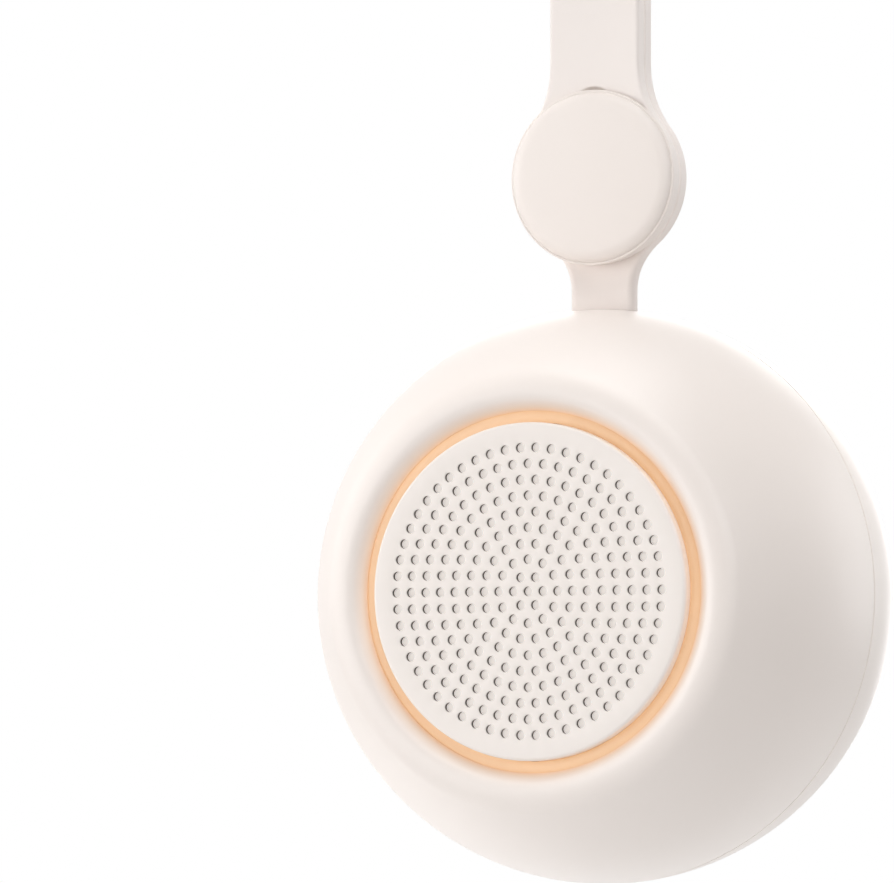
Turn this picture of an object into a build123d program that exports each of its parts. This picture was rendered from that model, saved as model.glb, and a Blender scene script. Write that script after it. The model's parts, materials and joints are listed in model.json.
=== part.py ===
from build123d import *
from math import acos, asin, cos, degrees, radians, sin, sqrt, tan
import os

# A portable white noise sound machine: a round case with a perforated grille and a light ring in
# front, control buttons behind, hung from a silicone strap that snaps open.
# Millimetres. X to the right seen from the front, +Y to the rear, +Z up. The origin is the
# bearing point of the strap: the top of the inside of its loop, midway across the band.

# ---- case ----
CASE_R = 40.0            # outer radius of the round case
WALL = 2.2               # wall of both case shells
PARTING_F = 0.0          # the shells meet this far in front of the case centre (negative: behind)
PARTING_BEVEL = 0.15     # bevel that draws the parting line
TONGUE_W = 1.0           # tongue of the rear shell inside the front one
TONGUE_H = 1.4
CREST_SUNK = 1.83        # top of the soft crest round the grille, under the full sphere
MOAT_W = 2.6             # hollow between the crest and the light ring
MOAT_DEPTH = 1.75
MOAT_TURN_W = 1.4        # a point that the hollow's slope passes, from the crest
MOAT_TURN_DROP = 0.45
REAR_CUT = 12.0          # taken off the sphere behind, for the flat ring that the case lies on
REAR_EDGE_R = 4.0        # rounding from the sphere into that ring
REAR_RING_W = 2.73       # flat ring round the rear panel
SLIP = 0.1               # clearance between pieces that slide together by hand
GLUE_GAP = 0.05          # clearance of a piece pushed into a close seat

# ---- grille and light ring ----
GRILLE_R = 23.0
GRILLE_SUNK = 0.2        # front face of the grille disc, behind the crest
GRILLE_T = 0.7
GRILLE_EDGE = 0.5        # rounding of the disc's rim
SKIRT_W = 1.4            # skirt behind the disc that stands on the baffle
HOLE_R = 0.64            # one hole of the grille
RING_PITCH = 2.17        # from one ring of holes to the next
HOLE_RINGS = 9           # ring n has n times six holes, round one hole in the middle
MESH_T = 0.4             # dust mesh behind the holes
RING_GAP = 0.2           # between the grille disc and the light ring
RING_W = 1.3             # visible face of the light ring
RING_SUNK = 0.05         # that face lies under the foot of the hollow
RING_LIP_T = 1.2         # lip of the front shell in front of the light ring's flange
RING_FLANGE_T = 1.3
RING_SEAT_W = 2.0
COLLAR_W = 1.0           # collar behind the step that centres the flange
COLLAR_H = 1.7

# ---- baffle, which carries the loudspeaker, the light board and the rear shell ----
BAFFLE_DROP = 7.8        # from the crest back to the front face
BAFFLE_T = 1.6
BAFFLE_RIM = 3.9         # the baffle reaches this far beyond the grille disc
EAR_OUT = 2.6            # screws of the ears, beyond the baffle's rim
EAR_R = 2.4
EAR_COUNT = 4
POST_CLEAR = 0.4         # round the posts for the rear shell
POST_R = 2.6
POST_COUNT = 4
POST_END_F = -1.1        # where posts and rear sleeves meet
LED_BOARD_T = 1.0
LED_COUNT = 8
LED_SIZE = 1.6
LED_H = 0.8

# ---- loudspeaker ----
DRIVER_PLAY = 1.6        # round the basket's rim inside the grille's skirt
BASKET_T = 0.8
BASKET_RIM_W = 2.6       # the basket turns down behind this rim
BASKET_BACK_R = 12.0
BASKET_DEPTH = 8.4       # from the rim's front to the basket's back face
BASKET_WINDOWS = 6
WINDOW_W = 6.0
WINDOW_BACK = 1.2        # from the basket's back face to a window
WINDOW_FRONT = 1.6       # from a window to the rim's front
COIL_R = 5.2
COIL_T = 0.3
CONE_T = 0.4
CONE_DEPTH = 5.0
DUST_CAP_H = 2.2
ROLL_R = 1.7             # half roll of the surround
ROLL_T = 0.35
SURROUND_LIP_W = 1.0     # flat of the surround outside its roll
GASKET_T = 1.0
GASKET_W = 1.8
TOP_PLATE_T = 1.4
MAGNET_T = 4.0
MAGNET_R = 12.5
MAGNET_BORE_R = 6.8
PLATE_STEP = 0.8         # the steel plates are this much smaller in radius than the magnet
YOKE_T = 1.6
SPIDER_T = 0.4
COIL_GAP = 0.3           # air each side of the voice coil
BAFFLE_CLEAR = 0.5       # round the basket in the baffle's opening
CHAMBER_PLAY = 0.4       # round the basket inside the closed chamber behind the loudspeaker
CHAMBER_WALL = 1.2
CHAMBER_CLEAR = 1.2      # behind the yoke

# ---- battery ----
CELL_L = 50.0
CELL_W = 20.0
CELL_T = 8.0
CELL_ROUND = 1.6
TAPE_T = 0.3
TRAY_T = 1.2
TRAY_WALL_H = 6.0
TRAY_FIT = 0.2
TRAY_GAP_W = 16.0        # gaps in the tray's long walls

# ---- rear panel and buttons ----
PANEL_T = 0.8
PANEL_RECESS = 1.5       # depth of the recess in the rear shell
FLOOR_T = 1.7            # rear wall under the panel
BUTTON_IN = 10.0         # ring of the small buttons, inside the panel's rim
BUTTON_R = 4.2
POWER_R = 6.0
BUTTON_LIP = 0.8         # flange that keeps a button in
BUTTON_LIP_T = 0.8
BUTTON_SUNK = 0.2        # faces lie this far below the flat ring
BUTTON_EDGE = 0.35
BUTTON_DISH = 0.3        # finger dish in the face
BUTTON_FIT = 0.15
STEM_R = 1.5
STEM_L = 0.8
PRESS_GAP = 0.5          # from a stem to its switch; the travel is 0.4
PIPE_R = 0.8             # status light pipe
PIPE_CLEAR = 0.2         # from its lip to the lip of the button above it
PIPE_FIT = 0.1

# ---- main board ----
BOARD_T = 1.2
BOARD_EDGE = 1.7         # board beyond its bosses
BOARD_BOSS_R = 1.7
BOSS_CLEAR = 0.9         # from a button's lip to a boss
SWITCH_W = 5.2
SWITCH_BODY_T = 1.7
SWITCH_NUB = 0.7         # plunger of a switch
CHIP_T = 0.9
SLEEVE_R = 2.9           # screw sleeves of the rear shell
SLEEVE_FLOOR = 3.0       # what the case screws clamp
SLEEVE_CLEAR = 0.3       # round a sleeve in the board
BOARD_FOOT_MARGIN = 2.0  # foot of the board each side of the charging socket
# processor, amplifier, charger and memory: (across, up, width, height)
CHIPS = [(-9, 6, 7, 7), (6, 9, 6, 5), (9, -7, 4, 4), (-10, -9, 5, 4)]

# ---- leads, and their plugs on the main board ----
LEAD_R = 0.5
LEAD_OUT = 6.0           # the loudspeaker's lead runs back this far outside the chamber
LEAD_SLACK = 8.0         # where a lead leaves the straight for its plug, before the board
LEAD_BEND = 0.45         # each bend takes this share of the shorter run beside it
PLUG_W = 5.0
PLUG_H = 3.4
PLUG_T = 2.6
BATTERY_PLUG = (16, 4)
SPEAKER_PLUG = (16, -6)
LIGHT_PLUG = (-6, 15)
CELL_TAB = (21, 4)       # where the battery's lead leaves the cell
TERMINAL_UP = 2.0        # the loudspeaker's terminals, in front of the basket's back face
TERMINAL_TURN = -30
LIGHT_TURN = 112.5       # where the lights' lead passes the baffle

# ---- charging socket ----
SOCKET_W = 8.94
SOCKET_H = 3.26
SOCKET_L = 7.35
SOCKET_SHEET = 0.3
SOCKET_SUNK = 0.2        # its mouth lies this far inside the flat round it
SOCKET_FLAT_CUT = 1.63   # depth of the flat round it, at its middle
SOCKET_FLAT_MARGIN = 1.7
SOCKET_OVERHANG = 3.4    # of the socket beyond the board's foot
SOCKET_BACK_T = 0.9
CONTACT_W = 6.7          # contact tongue inside the socket
CONTACT_T = 0.7
CONTACT_L = 6.2

# ---- screws ----
SCREW_R = 1.0
SCREW_HEAD_R = 1.9
SCREW_HEAD_T = 1.4
SCREW_L = 9.0
SMALL_SCREW_R = 0.8
SMALL_HEAD_R = 1.5
SMALL_HEAD_T = 1.0
SMALL_SCREW_L = 4.4
THREAD_GAP = 0.02        # a screw in its hole
PILOT_EXTRA = 0.6        # hole deeper than the screw

# ---- strap ----
BAND_W = 13.4            # band above the snap
BAND_T = 2.5
LEG_GAP = 0.2            # between the closed legs
NECK_W = 9.5
NECK_FIT = 0.15          # neck in the case slot
PADDLE_R = 12.0
PADDLE_UP = 58.25        # snap centre above the case centre
NECK_BLEND_R = 8.5
BAND_BLEND_R = 15.0
STRAP_EDGE = 0.5         # rounding of the strap's edges
EYE_R = 7.5              # inside radius of the loop
EYE_UP = 104.0           # loop centre above the case centre
LEG_BEND_R = 20.0        # bend from the straight legs into the loop
CASE_BACK = 1.15         # case centre behind the middle of the loop
FOOT_W = 14.0            # foot of the strap inside the case
FOOT_T = 4.8
FOOT_H = 4.2
FOOT_DROP = 3.4          # top of the foot below the top of the case
PIN_R = 1.0
RIB_T = 1.6
RIB_DEPTH = 7.0
RIB_BEHIND = 1.6         # the ribs reach this far behind the pin

# ---- snap ----
CAP_R = 12.25
CAP_SIDE = 1.35
CAP_CROWN = 0.6
CAP_EDGE = 1.2
STUD_R = 2.55
STUD_FLANGE_R = 5.0
STUD_FLANGE_T = 0.7
STUD_PLAY = 0.55         # round the stud in the socket
STUD_CHAMFER = 0.35
SNAP_RING_R = 5.2
SNAP_LIP_R = 6.2
SNAP_LIP_T = 0.5
NOTCH_R = 2.0            # thumb notch above the cap
NOTCH_DEPTH = 0.8

# ---- worked out from the values above ----
CASE_Z = -(EYE_UP + EYE_R)
INNER_R = CASE_R - WALL
RING_IN_R = GRILLE_R + RING_GAP
RING_OUT_R = RING_IN_R + RING_W
MOAT_FOOT_R = RING_OUT_R + SLIP
CREST_R = MOAT_FOOT_R + MOAT_W
CREST_F = sqrt(CASE_R**2 - CREST_R**2) - CREST_SUNK
MOAT_MID_R = CREST_R - MOAT_TURN_W
MOAT_MID_F = CREST_F - MOAT_TURN_DROP
MOAT_FOOT_F = CREST_F - MOAT_DEPTH
RING_FACE_F = MOAT_FOOT_F - RING_SUNK
RING_SEAT_F = MOAT_FOOT_F - RING_LIP_T
GRILLE_F = CREST_F - GRILLE_SUNK
BAFFLE_F = CREST_F - BAFFLE_DROP
BAFFLE_R = GRILLE_R + BAFFLE_RIM
EAR_RING_R = BAFFLE_R + EAR_OUT
DRIVER_R = GRILLE_R - SKIRT_W - DRIVER_PLAY
BASKET_NECK_R = DRIVER_R - BASKET_RIM_W
CONE_R = DRIVER_R - GASKET_W - SURROUND_LIP_W - 2 * ROLL_R
CHAMBER_R = BASKET_NECK_R + CHAMBER_PLAY + CHAMBER_WALL
TRAY_OUT_W = CELL_W + 2 * (TRAY_FIT + TRAY_T)
# the posts stand clear of the round chamber and of the long sides of the tray
POST_RING_R = max(CHAMBER_R + POST_CLEAR + POST_R, sqrt(2) * (TRAY_OUT_W / 2 + POST_CLEAR + SLEEVE_R))
REAR_F = REAR_CUT - CASE_R
SHOULDER_R = (CASE_R**2 - CREST_R**2 - CREST_F**2) / (2 * (CASE_R - CREST_F))
SHOULDER_F = CREST_F - SHOULDER_R
REAR_ARC_R = sqrt((CASE_R - REAR_EDGE_R) ** 2 - (REAR_F + REAR_EDGE_R) ** 2)
PANEL_R = REAR_ARC_R - REAR_RING_W - SLIP
BUTTON_RING_R = PANEL_R - BUTTON_IN
BUTTON_REACH_R = BUTTON_RING_R + BUTTON_R + BUTTON_LIP
PIPE_RING_R = BUTTON_REACH_R + PIPE_CLEAR + BUTTON_LIP + PIPE_R
BOARD_BOSS_RING_R = BUTTON_REACH_R + BOSS_CLEAR + BOARD_BOSS_R
BOARD_R = BOARD_BOSS_RING_R + BOARD_BOSS_R + BOARD_EDGE
PARTING_R = sqrt(CASE_R**2 - PARTING_F**2)
RABBET_R = INNER_R + TONGUE_W + SLIP
GRILLE_BACK_F = GRILLE_F - GRILLE_T
BAFFLE_BACK_F = BAFFLE_F - BAFFLE_T
RIM_FRONT_F = BAFFLE_F + BASKET_T
BASKET_BACK_F = RIM_FRONT_F - BASKET_DEPTH
MAGNET_FRONT_F = BASKET_BACK_F - TOP_PLATE_T
MAGNET_BACK_F = MAGNET_FRONT_F - MAGNET_T
YOKE_BACK_F = MAGNET_BACK_F - YOKE_T
CHAMBER_BACK_F = YOKE_BACK_F - CHAMBER_CLEAR - CHAMBER_WALL
TRAY_FLOOR_F = CHAMBER_BACK_F - TRAY_T
CELL_FRONT_F = TRAY_FLOOR_F - TAPE_T
RECESS_F = REAR_F + PANEL_RECESS
FLOOR_F = RECESS_F + FLOOR_T
PANEL_F = RECESS_F - PANEL_T
BUTTON_FACE_F = REAR_F + BUTTON_SUNK
LIP_BACK_F = FLOOR_F + SLIP
STEM_END_F = LIP_BACK_F + BUTTON_LIP_T + STEM_L
SWITCH_TOP_F = STEM_END_F + PRESS_GAP
BOARD_BACK_F = SWITCH_TOP_F + SWITCH_NUB + SWITCH_BODY_T
BOARD_F = BOARD_BACK_F + BOARD_T
SCREW_SEAT_F = POST_END_F - SLEEVE_FLOOR
SOCKET_F = BOARD_F + SOCKET_H / 2
SOCKET_FLAT_Z = SOCKET_FLAT_CUT - sqrt(CASE_R**2 - SOCKET_F**2)
SOCKET_MOUTH_Z = SOCKET_FLAT_Z + SOCKET_SUNK
LEG_Y = (BAND_T + LEG_GAP) / 2
EYE_MID_R = EYE_R + BAND_T / 2
FOOT_Z = CASE_Z + CASE_R - FOOT_DROP - FOOT_H
RIB_H = FOOT_H + FOOT_DROP - WALL + 2 * SLIP
STRAP_DEPTH = EYE_R + BAND_T
PIN_Z = FOOT_Z + FOOT_H / 2
PADDLE_Z = CASE_Z + PADDLE_UP
CAP_BACK_Y = -LEG_Y - BAND_T / 2
SNAP_BACK_Y = LEG_Y + BAND_T / 2

CASE_AXIS = Axis((0, CASE_BACK, CASE_Z), (0, -1, 0))
SNAP_AXIS = Axis((0, 0, PADDLE_Z), (0, -1, 0))
# Half section of the case: x is the distance from the case axis, y is forward of its centre.
HALF_SECTION = Plane(origin=(0, CASE_BACK, CASE_Z), x_dir=(1, 0, 0), z_dir=(0, 0, -1))
SNAP_SECTION = Plane(origin=(0, 0, PADDLE_Z), x_dir=(1, 0, 0), z_dir=(0, 0, -1))
SIDE = Plane.YZ


def facing(forward):
    """Plane square to the case axis, forward of the case centre; extrusions run forwards."""
    return Plane(origin=(0, CASE_BACK - forward, CASE_Z), x_dir=(1, 0, 0), z_dir=(0, -1, 0))


def snap_facing(y):
    """Plane square to the snap's axis at world y; extrusions run forwards."""
    return Plane(origin=(0, y, PADDLE_Z), x_dir=(1, 0, 0), z_dir=(0, -1, 0))


def on_sphere(radius, forward):
    """Half-section point of a sphere about the case centre."""
    return (sqrt(radius**2 - forward**2), forward)


def toward(x, forward, radius):
    """Half-section point at a radius from the case centre, on the ray through another point."""
    reach = sqrt(x**2 + forward**2)
    return (x / reach * radius, forward / reach * radius)


def midway(start, end, radius):
    """Half-section point of a sphere about the case centre, midway between two of its points."""
    return toward(start[0] + end[0], start[1] + end[1], radius)


def crown_radius(half_width, height):
    """Radius of the arc that rises to a height over a half width."""
    return (half_width**2 + height**2) / (2 * height)


def ears():
    """Places of the baffle's ears."""
    return PolarLocations(EAR_RING_R, EAR_COUNT)


def posts():
    """Places of the baffle's posts and the rear shell's sleeves."""
    return PolarLocations(POST_RING_R, POST_COUNT, start_angle=180 / POST_COUNT)


def board_bosses():
    """Places of the bosses that carry the board: right, top and left."""
    return PolarLocations(BOARD_BOSS_RING_R, 3, start_angle=0, angular_range=180, endpoint=True)


def small_buttons():
    """Places of the four small buttons."""
    return PolarLocations(BUTTON_RING_R, 4)


def status_place():
    """Place of the status light."""
    return Locations((0, -PIPE_RING_R))


def around(radius, turn):
    """Place on a ring round the case axis, in degrees from the right."""
    return (radius * cos(radians(turn)), radius * sin(radians(turn)))


def finish(part, name):
    """Label a finished piece and write it to its file."""
    part.label = name
    export_step(part, f"parts/{name}.step")


os.makedirs("parts", exist_ok=True)

# ---- front shell: bowl with a crest, a moat, a seat for the light ring and ribs ----
outer_turn = toward(CREST_R, SHOULDER_F, CASE_R)
inner_turn = toward(CREST_R, SHOULDER_F, INNER_R)
collar_out = MOAT_FOOT_R + RING_SEAT_W + COLLAR_W
collar_back_f = RING_SEAT_F - COLLAR_H
shoulder_in = SHOULDER_R - WALL
shoulder_under_f = SHOULDER_F + shoulder_in
collar_root = (collar_out, SHOULDER_F + sqrt(shoulder_in**2 - (collar_out - CREST_R) ** 2))
front_seam_in = on_sphere(INNER_R, PARTING_F)

with BuildPart() as front_shell:
    with BuildSketch(HALF_SECTION):
        with BuildLine():
            outer_start = on_sphere(CASE_R, PARTING_F + PARTING_BEVEL)
            sphere_out = ThreePointArc(outer_start, midway(outer_start, outer_turn, CASE_R), outer_turn)
            shoulder = TangentArc(outer_turn, (CREST_R, CREST_F), tangent=sphere_out % 1)
            crest = TangentArc(shoulder @ 1, (MOAT_MID_R, MOAT_MID_F), tangent=(-1, 0))
            moat = TangentArc(crest @ 1, (MOAT_FOOT_R, MOAT_FOOT_F), tangent=crest % 1)
            Polyline(
                moat @ 1,
                (MOAT_FOOT_R, RING_SEAT_F),
                (MOAT_FOOT_R + RING_SEAT_W, RING_SEAT_F),
                (MOAT_FOOT_R + RING_SEAT_W, collar_back_f),
                (collar_out, collar_back_f),
                collar_root,
            )
            RadiusArc(collar_root, inner_turn, -shoulder_in)
            sphere_in = ThreePointArc(inner_turn, midway(inner_turn, front_seam_in, INNER_R), front_seam_in)
            Polyline(
                sphere_in @ 1,
                (PARTING_R - PARTING_BEVEL, PARTING_F),
                outer_start,
            )
        make_face()
    revolve(axis=CASE_AXIS)
    # ribs either side of the strap's foot, which hold its cross pin
    with BuildSketch(Plane.XY.offset(FOOT_Z - SLIP)):
        with Locations((0, LEG_Y + RIB_BEHIND - RIB_DEPTH / 2)):
            with GridLocations(FOOT_W + 2 * NECK_FIT + RIB_T, 1, 2, 1):
                Rectangle(RIB_T, RIB_DEPTH)
    extrude(amount=RIB_H)
    # behind the parting plane the ribs stay inside the rear shell
    with BuildSketch(facing(PARTING_F)):
        Circle(CASE_R)
        Circle(INNER_R - SLIP, mode=Mode.SUBTRACT)
    extrude(amount=-RIB_DEPTH, mode=Mode.SUBTRACT)
    # bosses for the baffle's ears
    with BuildSketch(facing(BAFFLE_F)):
        with ears():
            Circle(EAR_R)
    extrude(amount=shoulder_under_f - BAFFLE_F - SLIP)
    with BuildSketch(facing(BAFFLE_F)):
        with ears():
            Circle(SMALL_SCREW_R + THREAD_GAP)
    extrude(amount=SMALL_SCREW_L - BAFFLE_T + PILOT_EXTRA, mode=Mode.SUBTRACT)
    # bore of the cross pin
    with BuildSketch(SIDE):
        with Locations((LEG_Y, PIN_Z)):
            Circle(PIN_R + THREAD_GAP)
    extrude(amount=FOOT_W / 2 + 2 * RIB_T, both=True, mode=Mode.SUBTRACT)
    # rabbet for the rear shell's tongue
    with BuildSketch(facing(PARTING_F)):
        Circle(RABBET_R)
        Circle(INNER_R - SLIP, mode=Mode.SUBTRACT)
    extrude(amount=TONGUE_H + SLIP, mode=Mode.SUBTRACT)
    # slot for the strap's neck, open at the parting plane
    with BuildSketch(Plane.XY.offset(PIN_Z)):
        slot_front = LEG_Y - BAND_T / 2 - NECK_FIT
        with Locations((0, (slot_front + CASE_BACK - PARTING_F) / 2)):
            Rectangle(NECK_W + 2 * NECK_FIT, CASE_BACK - PARTING_F - slot_front)
    extrude(amount=CASE_R, mode=Mode.SUBTRACT)
finish(front_shell.part, "front_shell")

# ---- rear shell: bowl with a flat ring, a recessed floor, sleeves, bosses and the socket cut ----
rear_turn = toward(REAR_ARC_R, REAR_F + REAR_EDGE_R, CASE_R)
floor_edge = on_sphere(INNER_R, FLOOR_F)
rear_seam_in = on_sphere(INNER_R, PARTING_F)
with BuildPart() as rear_shell:
    with BuildSketch(HALF_SECTION):
        with BuildLine():
            rear_start = on_sphere(CASE_R, PARTING_F - PARTING_BEVEL)
            sphere_rear = ThreePointArc(rear_start, midway(rear_start, rear_turn, CASE_R), rear_turn)
            edge = TangentArc(rear_turn, (REAR_ARC_R, REAR_F), tangent=sphere_rear % 1)
            Polyline(
                edge @ 1,
                (PANEL_R + SLIP, REAR_F),
                (PANEL_R + SLIP, RECESS_F),
                (0, RECESS_F),
                (0, FLOOR_F),
                floor_edge,
            )
            sphere_in_rear = ThreePointArc(floor_edge, midway(floor_edge, rear_seam_in, INNER_R),
                                           rear_seam_in)
            Polyline(
                sphere_in_rear @ 1,
                (rear_seam_in[0], PARTING_F + TONGUE_H),
                (INNER_R + TONGUE_W, PARTING_F + TONGUE_H),
                (INNER_R + TONGUE_W, PARTING_F),
                (PARTING_R - PARTING_BEVEL, PARTING_F),
                rear_start,
            )
        make_face()
    revolve(axis=CASE_AXIS)
    # sleeves of the case screws and bosses of the board
    with BuildSketch(facing(FLOOR_F - SLIP)):
        with posts():
            Circle(SLEEVE_R)
    extrude(amount=POST_END_F - FLOOR_F + SLIP)
    with BuildSketch(facing(FLOOR_F - SLIP)):
        with board_bosses():
            Circle(BOARD_BOSS_R)
    extrude(amount=BOARD_BACK_F - FLOOR_F + SLIP)
    with BuildSketch(facing(BOARD_BACK_F)):
        with board_bosses():
            Circle(SMALL_SCREW_R + THREAD_GAP)
    extrude(amount=-(SMALL_SCREW_L - BOARD_T + PILOT_EXTRA / 2), mode=Mode.SUBTRACT)
    with BuildSketch(facing(POST_END_F)):
        with posts():
            Circle(SCREW_R + SLIP)
    extrude(amount=-SLEEVE_FLOOR, mode=Mode.SUBTRACT)
    with BuildSketch(facing(SCREW_SEAT_F)):
        with posts():
            Circle(SCREW_HEAD_R + SLIP)
    extrude(amount=RECESS_F - SCREW_SEAT_F, mode=Mode.SUBTRACT)
    # holes of the buttons and of the light pipe
    with BuildSketch(facing(FLOOR_F)):
        Circle(POWER_R + BUTTON_FIT)
        with small_buttons():
            Circle(BUTTON_R + BUTTON_FIT)
        with status_place():
            Circle(PIPE_R + PIPE_FIT)
    extrude(amount=-FLOOR_T, mode=Mode.SUBTRACT)
    # flat and slot of the charging socket
    with BuildSketch(Plane.XY.offset(CASE_Z + SOCKET_FLAT_Z)):
        with Locations((0, CASE_BACK - SOCKET_F)):
            SlotOverall(SOCKET_W + 2 * SOCKET_FLAT_MARGIN, SOCKET_H + 2 * SOCKET_FLAT_MARGIN)
    extrude(amount=-CASE_R, mode=Mode.SUBTRACT)
    with BuildSketch(Plane.XY.offset(CASE_Z - CASE_R)):
        with Locations((0, CASE_BACK - SOCKET_F)):
            SlotOverall(SOCKET_W + 2 * BUTTON_FIT, SOCKET_H + 2 * BUTTON_FIT)
    extrude(amount=CASE_R + SOCKET_MOUTH_Z + SOCKET_L, mode=Mode.SUBTRACT)
    # the tongue stops at the strap's neck
    with BuildSketch(Plane.XY.offset(PIN_Z)):
        with Locations((0, LEG_Y)):
            Rectangle(NECK_W + 2 * NECK_FIT, BAND_T + 2 * NECK_FIT)
    extrude(amount=CASE_R, mode=Mode.SUBTRACT)
finish(rear_shell.part, "rear_shell")

# ---- grille disc: rings of holes, ring n with n times six ----
with BuildPart() as grille_disc:
    with BuildSketch(HALF_SECTION):
        with BuildLine():
            rim = CenterArc((GRILLE_R - GRILLE_EDGE, GRILLE_F - GRILLE_EDGE), GRILLE_EDGE, 0, 90)
            Polyline(
                rim @ 1,
                (0, GRILLE_F),
                (0, GRILLE_BACK_F),
                (GRILLE_R - SKIRT_W, GRILLE_BACK_F),
                (GRILLE_R - SKIRT_W, BAFFLE_F),
                (GRILLE_R, BAFFLE_F),
                rim @ 0,
            )
        make_face()
    revolve(axis=CASE_AXIS)
    with BuildSketch(facing(GRILLE_BACK_F)):
        Circle(HOLE_R)
        for ring in range(1, HOLE_RINGS + 1):
            with PolarLocations(ring * RING_PITCH, 6 * ring):
                Circle(HOLE_R)
    extrude(amount=GRILLE_T, mode=Mode.SUBTRACT)
finish(grille_disc.part, "grille_disc")

with BuildPart() as dust_mesh:
    with BuildSketch(facing(GRILLE_BACK_F - MESH_T)):
        Circle(GRILLE_R - SKIRT_W - SLIP)
    extrude(amount=MESH_T)
finish(dust_mesh.part, "dust_mesh")

# ---- light ring, its board and its lamps ----
with BuildPart() as light_ring:
    flange_out = MOAT_FOOT_R + RING_SEAT_W - SLIP
    flange_front = RING_SEAT_F - GLUE_GAP
    with BuildSketch(HALF_SECTION):
        with BuildLine():
            Polyline(
                (RING_IN_R, RING_FACE_F),
                (RING_OUT_R, RING_FACE_F),
                (RING_OUT_R, flange_front),
                (flange_out, flange_front),
                (flange_out, flange_front - RING_FLANGE_T),
                (RING_IN_R, flange_front - RING_FLANGE_T),
                close=True,
            )
        make_face()
    revolve(axis=CASE_AXIS)
finish(light_ring.part, "light_ring")

led_mid_r = (RING_IN_R + SLIP + BAFFLE_R) / 2
with BuildPart() as light_board:
    with BuildSketch(facing(BAFFLE_F)):
        Circle(BAFFLE_R)
        Circle(RING_IN_R + SLIP, mode=Mode.SUBTRACT)
    extrude(amount=LED_BOARD_T)
finish(light_board.part, "light_board")

with BuildPart() as light_lamps:
    with BuildSketch(facing(BAFFLE_F + LED_BOARD_T)):
        with PolarLocations(led_mid_r, LED_COUNT):
            Rectangle(LED_SIZE, LED_SIZE)
    extrude(amount=LED_H)
finish(light_lamps.part, "light_lamps")

# ---- baffle ----
light_exit = around(led_mid_r, LIGHT_TURN)
with BuildPart() as baffle:
    with BuildSketch(facing(BAFFLE_BACK_F)):
        Circle(BAFFLE_R)
        with ears():
            Circle(EAR_R)
        with PolarLocations((BAFFLE_R + EAR_RING_R) / 2 - EAR_R / 2, EAR_COUNT):
            Rectangle(EAR_RING_R - BAFFLE_R + EAR_R, 2 * EAR_R)
        Circle(BASKET_NECK_R + BAFFLE_CLEAR, mode=Mode.SUBTRACT)
        with ears():
            Circle(SMALL_SCREW_R + SLIP, mode=Mode.SUBTRACT)
        with Locations(light_exit):
            Circle(LEAD_R + SLIP, mode=Mode.SUBTRACT)
    extrude(amount=BAFFLE_T)
    with BuildSketch(facing(POST_END_F)):
        with posts():
            Circle(POST_R)
    extrude(amount=BAFFLE_F - POST_END_F)
    with BuildSketch(facing(POST_END_F)):
        with posts():
            Circle(SCREW_R + THREAD_GAP)
    extrude(amount=SCREW_L - SLEEVE_FLOOR + PILOT_EXTRA, mode=Mode.SUBTRACT)
finish(baffle.part, "baffle")

# ---- loudspeaker ----
with BuildPart() as speaker_basket:
    slope = (BASKET_NECK_R - BASKET_BACK_R) / BASKET_DEPTH
    with BuildSketch(HALF_SECTION):
        with BuildLine():
            Polyline(
                (DRIVER_R, RIM_FRONT_F),
                (BASKET_NECK_R - BASKET_T, RIM_FRONT_F),
                (BASKET_BACK_R - BASKET_T, BASKET_BACK_F + BASKET_T),
                (COIL_R + COIL_GAP, BASKET_BACK_F + BASKET_T),
                (COIL_R + COIL_GAP, BASKET_BACK_F),
                (BASKET_BACK_R, BASKET_BACK_F),
                (BASKET_NECK_R - slope * BASKET_T, BAFFLE_F),
                (DRIVER_R, BAFFLE_F),
                close=True,
            )
        make_face()
    revolve(axis=CASE_AXIS)
    with BuildSketch(facing(BASKET_BACK_F + WINDOW_BACK)):
        with PolarLocations((BASKET_BACK_R + BASKET_NECK_R) / 2, BASKET_WINDOWS):
            Rectangle(BASKET_NECK_R - BASKET_BACK_R + BASKET_T, WINDOW_W)
    extrude(amount=BASKET_DEPTH - WINDOW_BACK - WINDOW_FRONT, mode=Mode.SUBTRACT)
finish(speaker_basket.part, "speaker_basket")

with BuildPart() as speaker_gasket:
    with BuildSketch(facing(RIM_FRONT_F)):
        Circle(DRIVER_R)
        Circle(DRIVER_R - GASKET_W, mode=Mode.SUBTRACT)
    extrude(amount=GASKET_T)
finish(speaker_gasket.part, "speaker_gasket")

roll_mid_r = CONE_R + ROLL_R
with BuildPart() as speaker_surround:
    with BuildSketch(HALF_SECTION):
        with BuildLine():
            lip_angle = degrees(asin(ROLL_T / ROLL_R))
            roll_top = CenterArc((roll_mid_r, RIM_FRONT_F), ROLL_R, lip_angle, 180 - lip_angle)
            roll_under = CenterArc((roll_mid_r, RIM_FRONT_F), ROLL_R - ROLL_T, 0, 180)
            Line(roll_top @ 1, roll_under @ 1)
            Polyline(
                roll_top @ 0,
                (DRIVER_R - GASKET_W - SLIP, RIM_FRONT_F + ROLL_T),
                (DRIVER_R - GASKET_W - SLIP, RIM_FRONT_F),
                roll_under @ 0,
            )
        make_face()
    revolve(axis=CASE_AXIS)
finish(speaker_surround.part, "speaker_surround")

cone_back_f = RIM_FRONT_F - CONE_DEPTH
with BuildPart() as speaker_cone:
    with BuildSketch(HALF_SECTION):
        with BuildLine():
            Polyline(
                (CONE_R, RIM_FRONT_F),
                (COIL_R + CONE_T, cone_back_f),
                (COIL_R, cone_back_f),
                (COIL_R, cone_back_f + CONE_T),
                (CONE_R - CONE_T, RIM_FRONT_F),
                close=True,
            )
        make_face()
    revolve(axis=CASE_AXIS)
finish(speaker_cone.part, "speaker_cone")

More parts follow.
